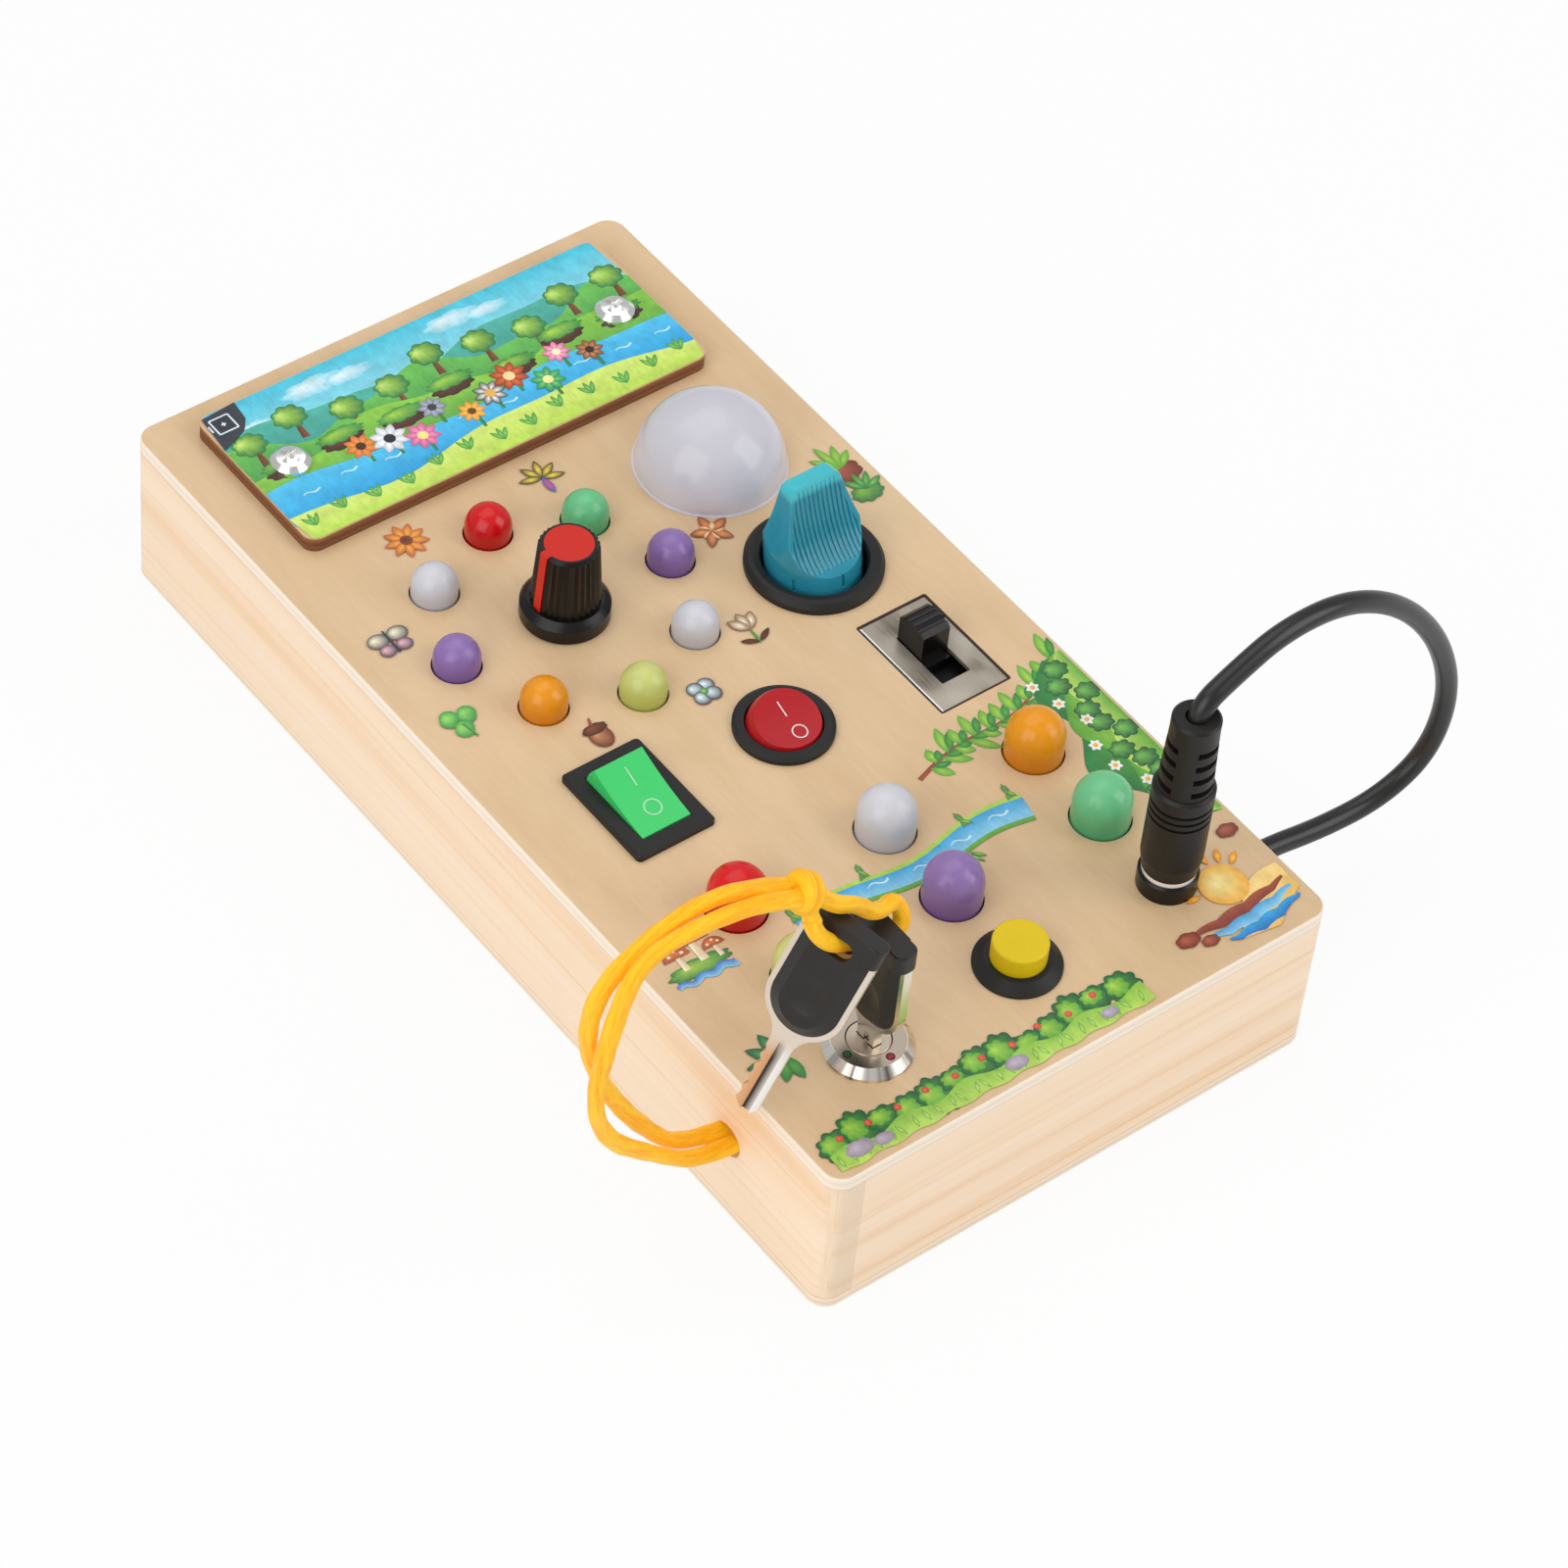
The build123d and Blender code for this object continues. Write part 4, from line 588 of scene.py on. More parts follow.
sky_line = [(-41.5 + 83 * t, 92.0) for t in steps(60)]
cover_picture.band(sky_line, [(x, 76.0) for x, y in sky_line], ink("43c3dc"), ink("9fe0ea"))
for x, y, wide in [(-20.0, 87.0, 6.5), (-13.5, 86.2, 5.0), (9.0, 87.6, 6.0), (15.5, 86.6, 4.5), (-33.5, 84.2, 3.6)]:
    cover_picture.blob(x, y, wide, wide * 0.34, ink("e9f7fb"), ink("8bd6e6"), 7, 0.2)
ridge(82.2, 1.8, 9.0, 0.4, 70.0, ink("4fb3a0"), ink("2b8f86"))
ridge(79.4, 2.4, 7.0, 2.1, 68.0, ink("6cbf52"), ink("2f8a4e"))
for number in range(9):
    x, y = -37.0 + 9.3 * number, 78.6 + 2.2 * sin(number * 1.9)
    cover_picture.stroke([(x, y - 3.2), (x + 0.3, y)], 1.5, 0.9, ink("5e3322"), ink("8a4f30"))
    cover_picture.blob(x + 0.2, y + 2.4, 3.3, 2.9, ink("b5d94c"), ink("1f7a44"), 8, 0.18, number)
    cover_picture.blob(x - 0.8, y + 3.0, 1.7, 1.4, ink("d6ea7e"), ink("7fbf48"), 6, 0.2, number)
ridge(74.6, 1.9, 8.0, 4.0, 64.0, ink("8ccb45"), ink("3c9440"))
for number in range(7):
    x, y = -34.5 + 11.4 * number, 72.9 + 1.2 * sin(number * 2.7)
    cover_picture.blob(x, y, 4.4, 1.9, ink("6b3c26"), ink("40241a"), 9, 0.16, number)
    cover_picture.blob(x + 0.3, y + 1.5, 4.9, 1.7, ink("a6d546"), ink("2c8a43"), 11, 0.2, number)
ridge(69.0, 1.0, 10.0, 1.0, 61.0, ink("4fc3ee"), ink("1f9fdc"))
for number in range(10):
    x = -36.0 + 8.0 * number
    ripple = [(x + 3.4 * t, 66.3 + 0.8 * sin(number * 2) + 0.25 * sin(7 * t)) for t in steps(8)]
    cover_picture.stroke(ripple, 0.15, 0.4, foam, ink("a5e2f7"))
ridge(62.8, 1.5, 12.0, 3.0, 56.0, ink("d9ec77"), ink("b9dc50"))
for number in range(13):
    x, y = -38.0 + 6.3 * number, 61.2 + 0.8 * sin(number * 1.7)
    for angle in (60, 90, 120):
        cover_picture.leaf(x, y - 1.8, angle + 6 * sin(number), 3.1, 0.9, ink("8fd05a"), ink("3c9440"))
for number, (petal, tip, eye) in enumerate([
        (ink("f6a04a"), ink("d8662a"), ink("4a2a1a")), (ink("ffffff"), ink("c9ccd4"), ink("24242a")),
        (ink("f49ac0"), ink("d85a92"), ink("ffe58a")), (ink("b9bccb"), ink("7f8496"), ink("3a3d4a")),
        (ink("ffd05a"), ink("e8962e"), ink("7a3a1c")), (ink("f7f2e8"), ink("3a3a42"), ink("e8b24a")),
        (ink("e8703c"), ink("9a3a1e"), ink("ffe0a0")), (ink("6fd07a"), ink("2a8f4a"), ink("f6f0a0")),
        (ink("f7b8cc"), ink("e06a9a"), ink("fff0c0")), (ink("c98a55"), ink("7a4526"), ink("2e1a10"))]):
    x = -21.5 + 5.1 * number
    y = 69.2 + 2.6 * sin(number * 2.4 + 0.6)
    size = 3.0 + 0.5 * sin(number * 1.3)
    cover_picture.stroke([(x, y - 4.2), (x + 0.4, y)], 0.6, 0.5, ink("3c9440"), ink("2a7a3a"))
    for petal_number in range(8):
        cover_picture.leaf(x, y, 45 * petal_number + 9 * number, size, size * 0.5, petal, tip)
    cover_picture.blob(x, y, size * 0.3, size * 0.3, eye, eye)

# Battery sign on a dark patch in the far left corner
patch = [(-41.0, 91.0), (-33.4, 91.0), (-33.9, 86.6), (-35.6, 84.4), (-38.0, 83.2), (-41.0, 82.0)]
cover_picture.fan((-38.5, 87.8), patch, ink("2d2f38"), ink("3a3d47"))
sign = [(-39.6, 85.6), (-35.9, 85.6), (-35.9, 89.2), (-39.6, 89.2), (-39.6, 85.6)]
for first, last in zip(sign, sign[1:]):
    cover_picture.stroke([first, last], 0.3, 0.3, foam, foam)
cover_picture.stroke([(-40.3, 86.6), (-40.3, 88.2)], 0.3, 0.3, foam, foam)
cover_picture.stroke([(-38.2, 87.4), (-37.3, 87.4)], 0.28, 0.28, foam, foam)
cover_picture.stroke([(-37.75, 86.95), (-37.75, 87.85)], 0.28, 0.28, foam, foam)
cover_picture.piece("cover_print", printed_ink("cover_ink", 0.3), "cover")


# --- Cover screws ---------------------------------------------------------------
# Two chromed pan-head screws with cross recesses, which hold the cover down. Their
# heads are turned and polished and keep only faint tool lines.

def metal(name, colour, roughness, spread, scale, stretch=(1.0, 1.0, 1.0)):
    """Plated or bare metal with fine tool lines."""
    plate = Finish(name)
    place = plate.node("TexCoord", output="Object")
    drawn = plate.node("Mapping", {}, {"Vector": place, "Scale": stretch})
    lines = plate.node("TexNoise", {}, {"Vector": drawn, "Scale": scale, "Detail": 4.0})
    smears = plate.node("TexNoise", {}, {"Vector": place, "Scale": 240.0, "Detail": 2.0})
    tint = plate.mix(lines * 0.35, colour, (0.72, 0.71, 0.7, 1), "MULTIPLY")
    relief = plate.node("Bump", {}, {"Height": lines, "Strength": 0.12, "Distance": 0.00003})
    rough = lines * spread + smears * spread + (roughness - spread)
    return plate.surface({"Base Color": tint, "Metallic": 1.0, "Roughness": rough, "Normal": relief})


dress(metal("screw_chrome", ink("fbfbf9"), roughness=0.16, spread=0.03, scale=160.0), "cover_screws")


# --- Cells and circuit boards ---------------------------------------------------
# Two wrapped cells lie in a moulded holder between sprung sheet contacts, and three
# green boards under the top panel carry the lamps. Only a lifted cover shows them.

def moulded(name, colour, roughness, grain, bump, coat=0.0):
    """Moulded plastic with a fine mould grain."""
    plastic = Finish(name)
    place = plastic.node("TexCoord", output="Object")
    fine = plastic.node("TexNoise", {}, {"Vector": place, "Scale": grain, "Detail": 3.0})
    broad = plastic.node("TexNoise", {}, {"Vector": place, "Scale": 160.0, "Detail": 2.0})
    tint = plastic.mix(fine * 0.25 + broad * 0.15, colour, (0.7, 0.7, 0.7, 1), "MULTIPLY")
    relief = plastic.node("Bump", {}, {"Height": fine, "Strength": bump, "Distance": 0.00004})
    rough = fine * 0.08 + broad * 0.08 + (roughness - 0.08)
    return plastic.surface({"Base Color": tint, "Roughness": rough, "Normal": relief, "Coat Weight": coat,
                            "Coat Roughness": 0.15, "Specular IOR Level": 0.32})


dress(moulded("cell_wrap", ink("3f7d5a"), roughness=0.3, grain=1500.0, bump=0.05), "batteries")
switch_base = moulded("switch_base", ink("0d0b0b"), roughness=0.5, grain=1800.0, bump=0.1)
dress(switch_base, "battery_holder")
spring_wire = metal("spring_wire", ink("b9b9b9"), roughness=0.3, spread=0.05, scale=900.0)
dress(spring_wire, "battery_contacts")
dress(moulded("solder_mask", ink("1f6a3c"), roughness=0.35, grain=1500.0, bump=0.05), "circuit_boards")


# --- Lamps and dome -------------------------------------------------------------
# Moulded caps of coloured, milky plastic, glossy outside, each over a light. The
# large dome is thin and white. They stand up through holes in the top panel.

lamp_low, lamp_high = 0.0315, 0.0395


def milky(name, colour, painted_foot_tone, low=lamp_low, high=lamp_high, roughness=0.2):
    """Diffusing plastic, its colour painted by height towards its foot: painted shade on the lamps, deeper in colour
    towards the foot, and painted light on the dome, paler at the foot.
    """
    plastic = Finish(name)
    place = plastic.node("TexCoord", output="Object")
    level = plastic.node("MapRange", {"interpolation_type": "SMOOTHSTEP"},
                         {"Value": plastic.node("SeparateXYZ", {}, {0: place}, "Z"), "From Min": low, "From Max": high})
    haze = plastic.node("TexNoise", {}, {"Vector": place, "Scale": 300.0, "Detail": 2.0})
    # Painted light and shade: the colour blends by height from the top colour to the painted foot tone
    tone = plastic.mix(level * 0.8 + haze * 0.2, painted_foot_tone, colour)
    fine = plastic.node("TexNoise", {}, {"Vector": place, "Scale": 2500.0, "Detail": 2.0})
    relief = plastic.node("Bump", {}, {"Height": fine, "Strength": 0.04, "Distance": 0.00003})
    return plastic.surface({"Base Color": tone, "Roughness": haze * 0.08 + (roughness - 0.04), "Normal": relief,
                            "Subsurface Weight": 0.3, "Subsurface Radius": (1.0, 1.0, 1.0),
                            "Subsurface Scale": 0.0012, "Specular IOR Level": 0.35, "Coat Weight": 0.12,
                            "Coat Roughness": 0.2})


lamp_red = milky("lamp_red", ink("de1016"), ink("b20a0e"))
lamp_orange = milky("lamp_orange", ink("f2a010"), ink("d07a06"))
lamp_mint = milky("lamp_mint", ink("76cc92"), ink("4aa872"))
lamp_purple = milky("lamp_purple", ink("9a7cb6"), ink("72529a"))
lamp_white = milky("lamp_white", ink("d8d8dd"), ink("bcbcc4"))
lamp_lime = milky("lamp_lime", ink("d4d886"), ink("b0b954"))
ring_colours = [lamp_red, lamp_mint, lamp_purple, lamp_white, lamp_lime, lamp_orange, lamp_purple, lamp_white]
for number, finish in enumerate(ring_colours, 1):
    dress(finish, f"ring_lamp_{number}")
grid_colours = [lamp_orange, lamp_mint, lamp_white, lamp_purple, lamp_red, lamp_lime]
for number, finish in enumerate(grid_colours, 1):
    dress(finish, f"grid_lamp_{number}")
dome_white = milky("dome_white", ink("cbc9d1"), ink("e0dbe4"), low=0.031, high=0.045, roughness=0.16)
dress(dome_white, "lamp_dome")

# The dome's foot fills its opening with a thin pale lip
dome_low, dome_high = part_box("lamp_dome")
lip_x, lip_y = (dome_low[0] + dome_high[0]) / 2, (dome_low[1] + dome_high[1]) / 2
lip_profile = [(0.0126, 0.00045), (0.01315, 0.0004), (0.01335, 0.00012), (0.01335, -0.0001)]
lip_around, lip_points = 96, len(lip_profile)
lip_spots, lip_faces = [], []
for step in range(lip_around):
    turn = 2 * pi * step / lip_around
    for radius, rise in lip_profile:
        lip_spots.append((lip_x + radius * cos(turn), lip_y + radius * sin(turn), panel_high[2] + rise))
    one, other = lip_points * step, lip_points * ((step + 1) % lip_around)
    lip_faces += [(one + i, one + i + 1, other + i + 1, other + i) for i in range(lip_points - 1)]
dome_lip = flat_object("dome_lip", lip_spots, lip_faces)
dome_lip.data.materials.append(dome_white)
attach(dome_lip, "case")


# --- Knob -----------------------------------------------------------------------
# Fluted black knob with a red insert and pointer, pushed on the shaft of a rotary
# control. The control's nickelled bushing takes a nut above the top panel.

gloss_black = moulded("gloss_black", ink("0f0c0b"), roughness=0.3, grain=1800.0, bump=0.08)
dress(gloss_black, "knob_body", "pot_body")
dress(moulded("knob_red", ink("d4200f"), roughness=0.36, grain=2000.0, bump=0.12), "knob_cap")
dress(metal("pot_nickel", ink("d8d2c8"), roughness=0.3, spread=0.06, scale=700.0), "pot_nut", "pot_shaft")


# --- Toggle ---------------------------------------------------------------------
# Ribbed wedge of clear blue plastic that tips in a black bezel and barrel. It is
# moulded hollow; its upper ridge carries a painted highlight in pale cyan.

bezel_black = moulded("bezel_black", ink("232221"), roughness=0.5, grain=2600.0, bump=0.25)
dress(bezel_black, "toggle_housing")
ridge_highlight_low, ridge_highlight_high = 0.0476, 0.0486
lens = Finish("toggle_lens_blue_ridge_highlight")
lens_place = lens.node("TexCoord", output="Object")
lens_haze = lens.node("TexNoise", {}, {"Vector": lens_place, "Scale": 260.0, "Detail": 2.0})
lens_tint = lens.mix(lens_haze, ink("2ea6c2"), ink("49c0d8"))
lens_height = lens.node("SeparateXYZ", {}, {0: lens_place}, "Z")
# Painted highlight: the top of the upper ridge turns pale cyan by height
lens_ridge_highlight = lens.node("MapRange", {}, {"Value": lens_height, "From Min": ridge_highlight_low, "From Max": ridge_highlight_high})
dress(lens.surface({"Base Color": lens.mix(lens_ridge_highlight, lens_tint, ink("5fecff")), "Roughness": lens_haze * 0.08 + 0.08,
                    "IOR": 1.4, "Transmission Weight": 0.4, "Subsurface Weight": 0.5,
                    "Subsurface Radius": (0.4, 1.0, 1.0), "Subsurface Scale": 0.003}), "toggle_lens")


# --- Slide switch ---------------------------------------------------------------
# Folded steel cover, brushed along its length, over a black moulded base. Its left
# fold carries a painted white highlight. The black finger runs in the cover's slot.

fold_highlight_inner, fold_highlight_outer = 0.00045, 0.00035
plate_steel = Finish("brushed_plate_fold_highlight")
plate_place = plate_steel.node("TexCoord", output="Object")
plate_drawn = plate_steel.node("Mapping", {}, {"Vector": plate_place, "Scale": (1.0, 0.05, 1.0)})
plate_lines = plate_steel.node("TexNoise", {}, {"Vector": plate_drawn, "Scale": 3200.0, "Detail": 4.0})
plate_clouds = plate_steel.node("TexNoise", {}, {"Vector": plate_place, "Scale": 130.0, "Detail": 1.0})
plate_shade = plate_steel.node("ValToRGB", {"stops": [(0.36, ink("6d6458")), (0.5, ink("a69d8e")),
                                                      (0.7, ink("beb5a6"))]},
                               {"Fac": plate_clouds * 0.8 + plate_lines * 0.2})
# Painted highlight: a white strip along the plate's left fold
plate_from_left = plate_steel.node("SeparateXYZ", {}, {0: plate_place}, "X") - plate_low[0]
plate_fold_highlight = plate_steel.node("MapRange", {}, {"Value": plate_from_left, "From Min": fold_highlight_inner,
                                               "From Max": fold_highlight_outer})
plate_colour = plate_steel.mix(plate_fold_highlight, plate_shade, ink("ffffff"))
plate_relief = plate_steel.node("Bump", {}, {"Height": plate_lines, "Strength": 0.1, "Distance": 0.00003})
dress(plate_steel.surface({"Base Color": plate_colour, "Metallic": 0.6, "Roughness": plate_lines * 0.12 + 0.32,
                           "Normal": plate_relief}), "slide_frame")
dress(gloss_black, "slide_actuator")
dress(switch_base, "slide_base")


# --- Rockers --------------------------------------------------------------------
# A round red and an oblong green button tip in black snap-in housings. A bar for on
# and a ring for off are pad-printed in white on each dished top and tip with it.

dress(bezel_black, "round_rocker_housing", "rect_rocker_housing")
dress(moulded("rocker_red", ink("b8161f"), roughness=0.3, grain=2000.0, bump=0.06, coat=0.05), "round_rocker_button")
dress(moulded("rocker_green", ink("44d672"), roughness=0.36, grain=2000.0, bump=0.1), "rect_rocker_button")

rocker_low, rocker_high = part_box("rect_rocker_housing")
rocker_row = (rocker_low[1] + rocker_high[1]) / 2 / mm
rocker_pivot, rocker_lean, corner_rise = 31.9, radians(15), 3.4
dish, sign_proud = 0.6, 0.03


def on_dish(x, y, swing):
    """A point on a rocker's dished top once it has tipped. The top's ends lie swing
    away from the pivot."""
    rim = sqrt(swing * swing - corner_rise ** 2)
    radius = (rim * rim + dish * dish) / (2 * dish)
    z = corner_rise - dish + radius - sqrt(radius * radius - y * y) + sign_proud
    return (x, rocker_row + y * cos(rocker_lean) - z * sin(rocker_lean),
            rocker_pivot + y * sin(rocker_lean) + z * cos(rocker_lean))


def rocker_signs(name, bar_x, bar_y, bar_length, ring_x, ring_y, ring_radius, stroke, swing, body, finish):
    """The bar and ring of one rocker as a thin printed piece."""
    spots, faces, bar_steps, around = [], [], 6, 48
    for step in range(bar_steps + 1):
        y = bar_y + bar_length * (step / bar_steps - 0.5)
        for side in (-0.5, 0.5):
            spots.append(on_dish(bar_x + side * stroke, y, swing))
    faces += [(2 * i, 2 * i + 1, 2 * i + 3, 2 * i + 2) for i in range(bar_steps)]
    first = len(spots)
    for step in range(around):
        angle = 2 * pi * step / around
        for radius in (ring_radius - stroke / 2, ring_radius + stroke / 2):
            spots.append(on_dish(ring_x + radius * cos(angle), ring_y + radius * sin(angle), swing))
        a, b = first + 2 * step, first + 2 * ((step + 1) % around)
        faces.append((a, a + 1, b + 1, b))
    signs = flat_object(name, [tuple(c * mm for c in spot) for spot in spots], faces)
    for face in signs.data.polygons:
        if face.normal.z < 0:
            face.flip()
    signs.data.materials.append(finish)
    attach(signs, body)


rocker_signs("round_rocker_signs", bar_x=0.9, bar_y=1.9, bar_length=2.9, ring_x=1.1, ring_y=-2.9, ring_radius=1.25,
             stroke=0.26, swing=6.4, body="round_rocker",
             finish=moulded("sign_on_red", ink("ead9d8"), roughness=0.4, grain=1800.0, bump=0.05))
rocker_signs("rect_rocker_signs", bar_x=-28.4, bar_y=3.4, bar_length=3.6, ring_x=-28.4, ring_y=-2.85, ring_radius=1.45,
             stroke=0.3, swing=7.65, body="rect_rocker",
             finish=moulded("sign_on_green", ink("a9e8bb"), roughness=0.4, grain=1800.0, bump=0.05))


# --- Lock -----------------------------------------------------------------------
# Nickelled case and nut, turned bright, with a duller core; painted light and dark reflections fan round them. Two
# paint spots in the case's face, each with a dark rim, mark the key's positions: red and green.

lock_low, lock_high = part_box("lock_bezel")
lock_x, lock_y = (lock_low[0] + lock_high[0]) / 2, (lock_low[1] + lock_high[1]) / 2


def turned_metal(name, centre_x, centre_y, colour, dark, face, face_edge, roughness):
    """Bright plating on a turned piece: a duller face inside a cone with light and dark fans of painted reflection
    round its axis; dark is the colour of the dark painted reflections.
    """
    plate = Finish(name)
    place = plate.node("TexCoord", output="Object")
    across = plate.node("SeparateXYZ", {}, {0: place}, "X") - centre_x
    along = plate.node("SeparateXYZ", {}, {0: place}, "Y") - centre_y
    angle = plate.node("Math", {"operation": "ARCTAN2"}, {0: along, 1: across})
    reflection_fan_place = plate.node("CombineXYZ", {}, {0: plate.node("Math", {"operation": "COSINE"}, {0: angle}),
                                              1: plate.node("Math", {"operation": "SINE"}, {0: angle})})
    # Painted reflection: light and dark fans round the axis stand in for surroundings mirrored in the polished cone
    fans = plate.node("TexNoise", {}, {"Vector": reflection_fan_place, "Scale": 1.7, "Detail": 3.0})
    shade = plate.node("ValToRGB", {"stops": [(0.36, dark), (0.48, colour), (0.62, colour), (0.7, dark)]},
                       {"Fac": fans})
    radius = plate.node("Math", {"operation": "SQRT"}, {0: across * across + along * along})
    outer = plate.node("MapRange", {}, {"Value": radius, "From Min": face_edge - 0.0001, "From Max": face_edge})
    tint = plate.mix(outer, face, shade)
    rings = plate.node("TexNoise", {"noise_dimensions": "1D"}, {"W": radius, "Scale": 9000.0, "Detail": 2.0})
    relief = plate.node("Bump", {}, {"Height": rings, "Strength": 0.15, "Distance": 0.00003})
    return plate.surface({"Base Color": tint, "Metallic": 1.0, "Roughness": rings * 0.1 + roughness,
                          "Normal": relief})


dress(turned_metal("lock_nickel_painted_reflections", lock_x, lock_y, ink("f3ede4"), dark=ink("55493f"), face=ink("a5998b"),
                   face_edge=0.0061, roughness=0.2), "lock_bezel", "lock_nut")
dress(metal("core_nickel", ink("b7a999"), roughness=0.3, spread=0.06, scale=700.0), "lock_core")


def paint_spot(name, x, y, radius, colour):
    """A round paint spot with a dark rim on the lock's face."""
    level, around = lock_high[2] / mm + 0.03, 28
    spots, faces = [(x, y, level)], []
    for reach in (radius * 0.72, radius):
        spots += [(x + reach * cos(2 * pi * i / around), y + reach * sin(2 * pi * i / around), level)
                  for i in range(around)]
    faces += [(0, 1 + i, 1 + (i + 1) % around) for i in range(around)]
    faces += [(1 + i, 1 + around + i, 1 + around + (i + 1) % around, 1 + (i + 1) % around) for i in range(around)]
    spot = flat_object(name, [tuple(c * mm for c in p) for p in spots], faces)
    spot.data.materials.append(moulded(name + "_paint", colour, roughness=0.3, grain=1500.0, bump=0.05))
    spot.data.materials.append(bezel_black)
    for face in spot.data.polygons:
        face.material_index = 0 if len(face.vertices) == 3 else 1
    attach(spot, "case")


paint_spot("lock_dot_red", -28.6, -82.2, radius=0.75, colour=ink("b01226"))
paint_spot("lock_dot_green", -33.9, -78.1, radius=0.75, colour=ink("1d5a34"))


# --- Keys -----------------------------------------------------------------------
# Two keys stamped from nickelled sheet, with a milled groove and black moulded
# heads. One stands in the lock and the other hangs beside it on the cord.

dress(metal("key_nickel", ink("f0e9dd"), roughness=0.2, spread=0.05, scale=700.0, stretch=(1.0, 1.0, 0.2)), "key_blade")
dress(moulded("key_black", ink("2a2827"), roughness=0.38, grain=2400.0, bump=0.2), "key_head", "spare_key_head")

# Hanging key: painted light across its blade near the tip: a painted warm reflection of the wood on its bitted side,
# painted shade in the near wall of the milled groove and a painted highlight beyond it; plain nickel towards the head
spare_tip = Vector((-0.0534, -0.0778, 0.0344))
spare_up = Vector((0.417, -0.047, 0.908)).normalized()
spare_across = Vector((0.354, -0.911, -0.210)).normalized()
spare_width, shoulder_low, shoulder_high = 0.004, 0.0100, 0.0152
hung = Finish("hanging_key_nickel_painted_light")
hung_place = hung.node("VectorMath", {"operation": "SUBTRACT"}, {0: hung.node("TexCoord", output="Object"),
                                                                 1: tuple(spare_tip)})
hung_across = hung.node("VectorMath", {"operation": "DOT_PRODUCT"}, {0: hung_place, 1: tuple(spare_across)}, "Value")
hung_along = hung.node("VectorMath", {"operation": "DOT_PRODUCT"}, {0: hung_place, 1: tuple(spare_up)}, "Value")
# Painted reflection, shade and highlight in bands across the blade
hung_painted_light_bands = hung.node("ValToRGB", {"stops": [
    (0.0, ink("e9b98a")), (0.36, ink("dca273")), (0.405, ink("c88f64")), (0.42, ink("2c2723")), (0.47, ink("3f3934")),
    (0.56, ink("8f8880")), (0.7, ink("cfc9c1")), (0.76, ink("fbf8f3")), (1.0, ink("efebe4"))]},
    {"Fac": hung_across * (1 / spare_width) + 0.5})
hung_reach = hung.node("MapRange", {"interpolation_type": "SMOOTHSTEP"},
                       {"Value": hung_along, "From Min": shoulder_low, "From Max": shoulder_high})
hung_colour = hung.mix(hung_reach, hung_painted_light_bands, ink("e6d8c8"))
hung_lines = hung.node("TexNoise", {}, {"Vector": hung_place, "Scale": 700.0, "Detail": 2.0})
hung_relief = hung.node("Bump", {}, {"Height": hung_lines, "Strength": 0.08, "Distance": 0.00003})
dress(hung.surface({"Base Color": hung_colour, "Metallic": 0.55, "Roughness": hung_lines * 0.1 + 0.26,
                    "Normal": hung_relief}), "spare_key_blade")


# --- Key cord -------------------------------------------------------------------
# Satin cord, 2.8 mm thick. Both ends go into the box through one hole in the left
# side; a knot holds the two strands and the loop that runs through both keys.

def smooth_line(name, points):
    """Points along the smooth curve that a route's control points give."""
    line = bpy.data.curves.new(name, "CURVE")
    line.dimensions = "3D"
    spline = line.splines.new("NURBS")
    spline.points.add(len(points) - 1)
    for spot, point in zip(spline.points, points):
        spot.co = (*point, 1.0)
    spline.order_u = 3
    spline.use_endpoint_u = True
    spline.resolution_u = 14
    holder = bpy.data.objects.new(name, line)
    bpy.context.collection.objects.link(holder)
    bpy.context.view_layer.update()
    mesh = bpy.data.meshes.new_from_object(holder)
    spots = [vertex.co.copy() for vertex in mesh.vertices]
    bpy.data.objects.remove(holder)
    return spots


def tube_rings(spots, radius, around, flatness):
    """Rings of points round a line, turned as little as possible, and how far along each is."""
    heading = (spots[1] - spots[0]).normalized()
    side = heading.orthogonal().normalized()
    twist, ripple = 130, 900
    rings, reach, lengths = [], 0.0, []
    for number, spot in enumerate(spots):
        ahead = spots[min(number + 1, len(spots) - 1)] - spots[max(number - 1, 0)]
        ahead.normalize()
        side = (side - ahead * side.dot(ahead)).normalized()
        other = ahead.cross(side)
        if number:
            reach += (spot - spots[number - 1]).length
        lengths.append(reach)
        ring = []
        for i in range(around):
            angle = 2 * pi * i / around
            size = radius * (1 + flatness * cos(2 * angle - reach * twist) + 0.4 * flatness * sin(reach * ripple))
            ring.append(spot + (side * cos(angle) + other * sin(angle)) * size)
        rings.append(ring)
    return rings, lengths


def cord_piece(name, lines, radius, finish, around=24, flatness=0.0):
    """One mesh of round cord along each of the given lines, with its lay stored as a map."""
    spots, faces, lay = [], [], []
    for line in lines:
        rings, lengths = tube_rings(line, radius, around, flatness)
        first = len(spots)
        for ring in rings:
            spots += [tuple(spot) for spot in ring]
        for number in range(len(rings) - 1):
            for i in range(around):
                a, b = first + number * around + i, first + number * around + (i + 1) % around
                faces.append((a, b, b + around, a + around))
                low, high = lengths[number], lengths[number + 1]
                lay += [(i / around, low), ((i + 1) / around, low), ((i + 1) / around, high), (i / around, high)]
        for number, turn in ((0, -1), (len(rings) - 1, 1)):
            ring = [first + number * around + i for i in range(around)]
            faces.append(tuple(ring[::turn]))
            lay += [(0.0, lengths[number])] * around
    piece = flat_object(name, spots, faces)
    layer = piece.data.uv_layers.new(name="lay")
    for number, spot in enumerate(lay):
        layer.data[number].uv = spot
    piece.data.polygons.foreach_set("use_smooth", [len(face.vertices) == 4 for face in piece.data.polygons])
    piece.data.materials.append(finish)
    return piece


cord_radius = 0.0014


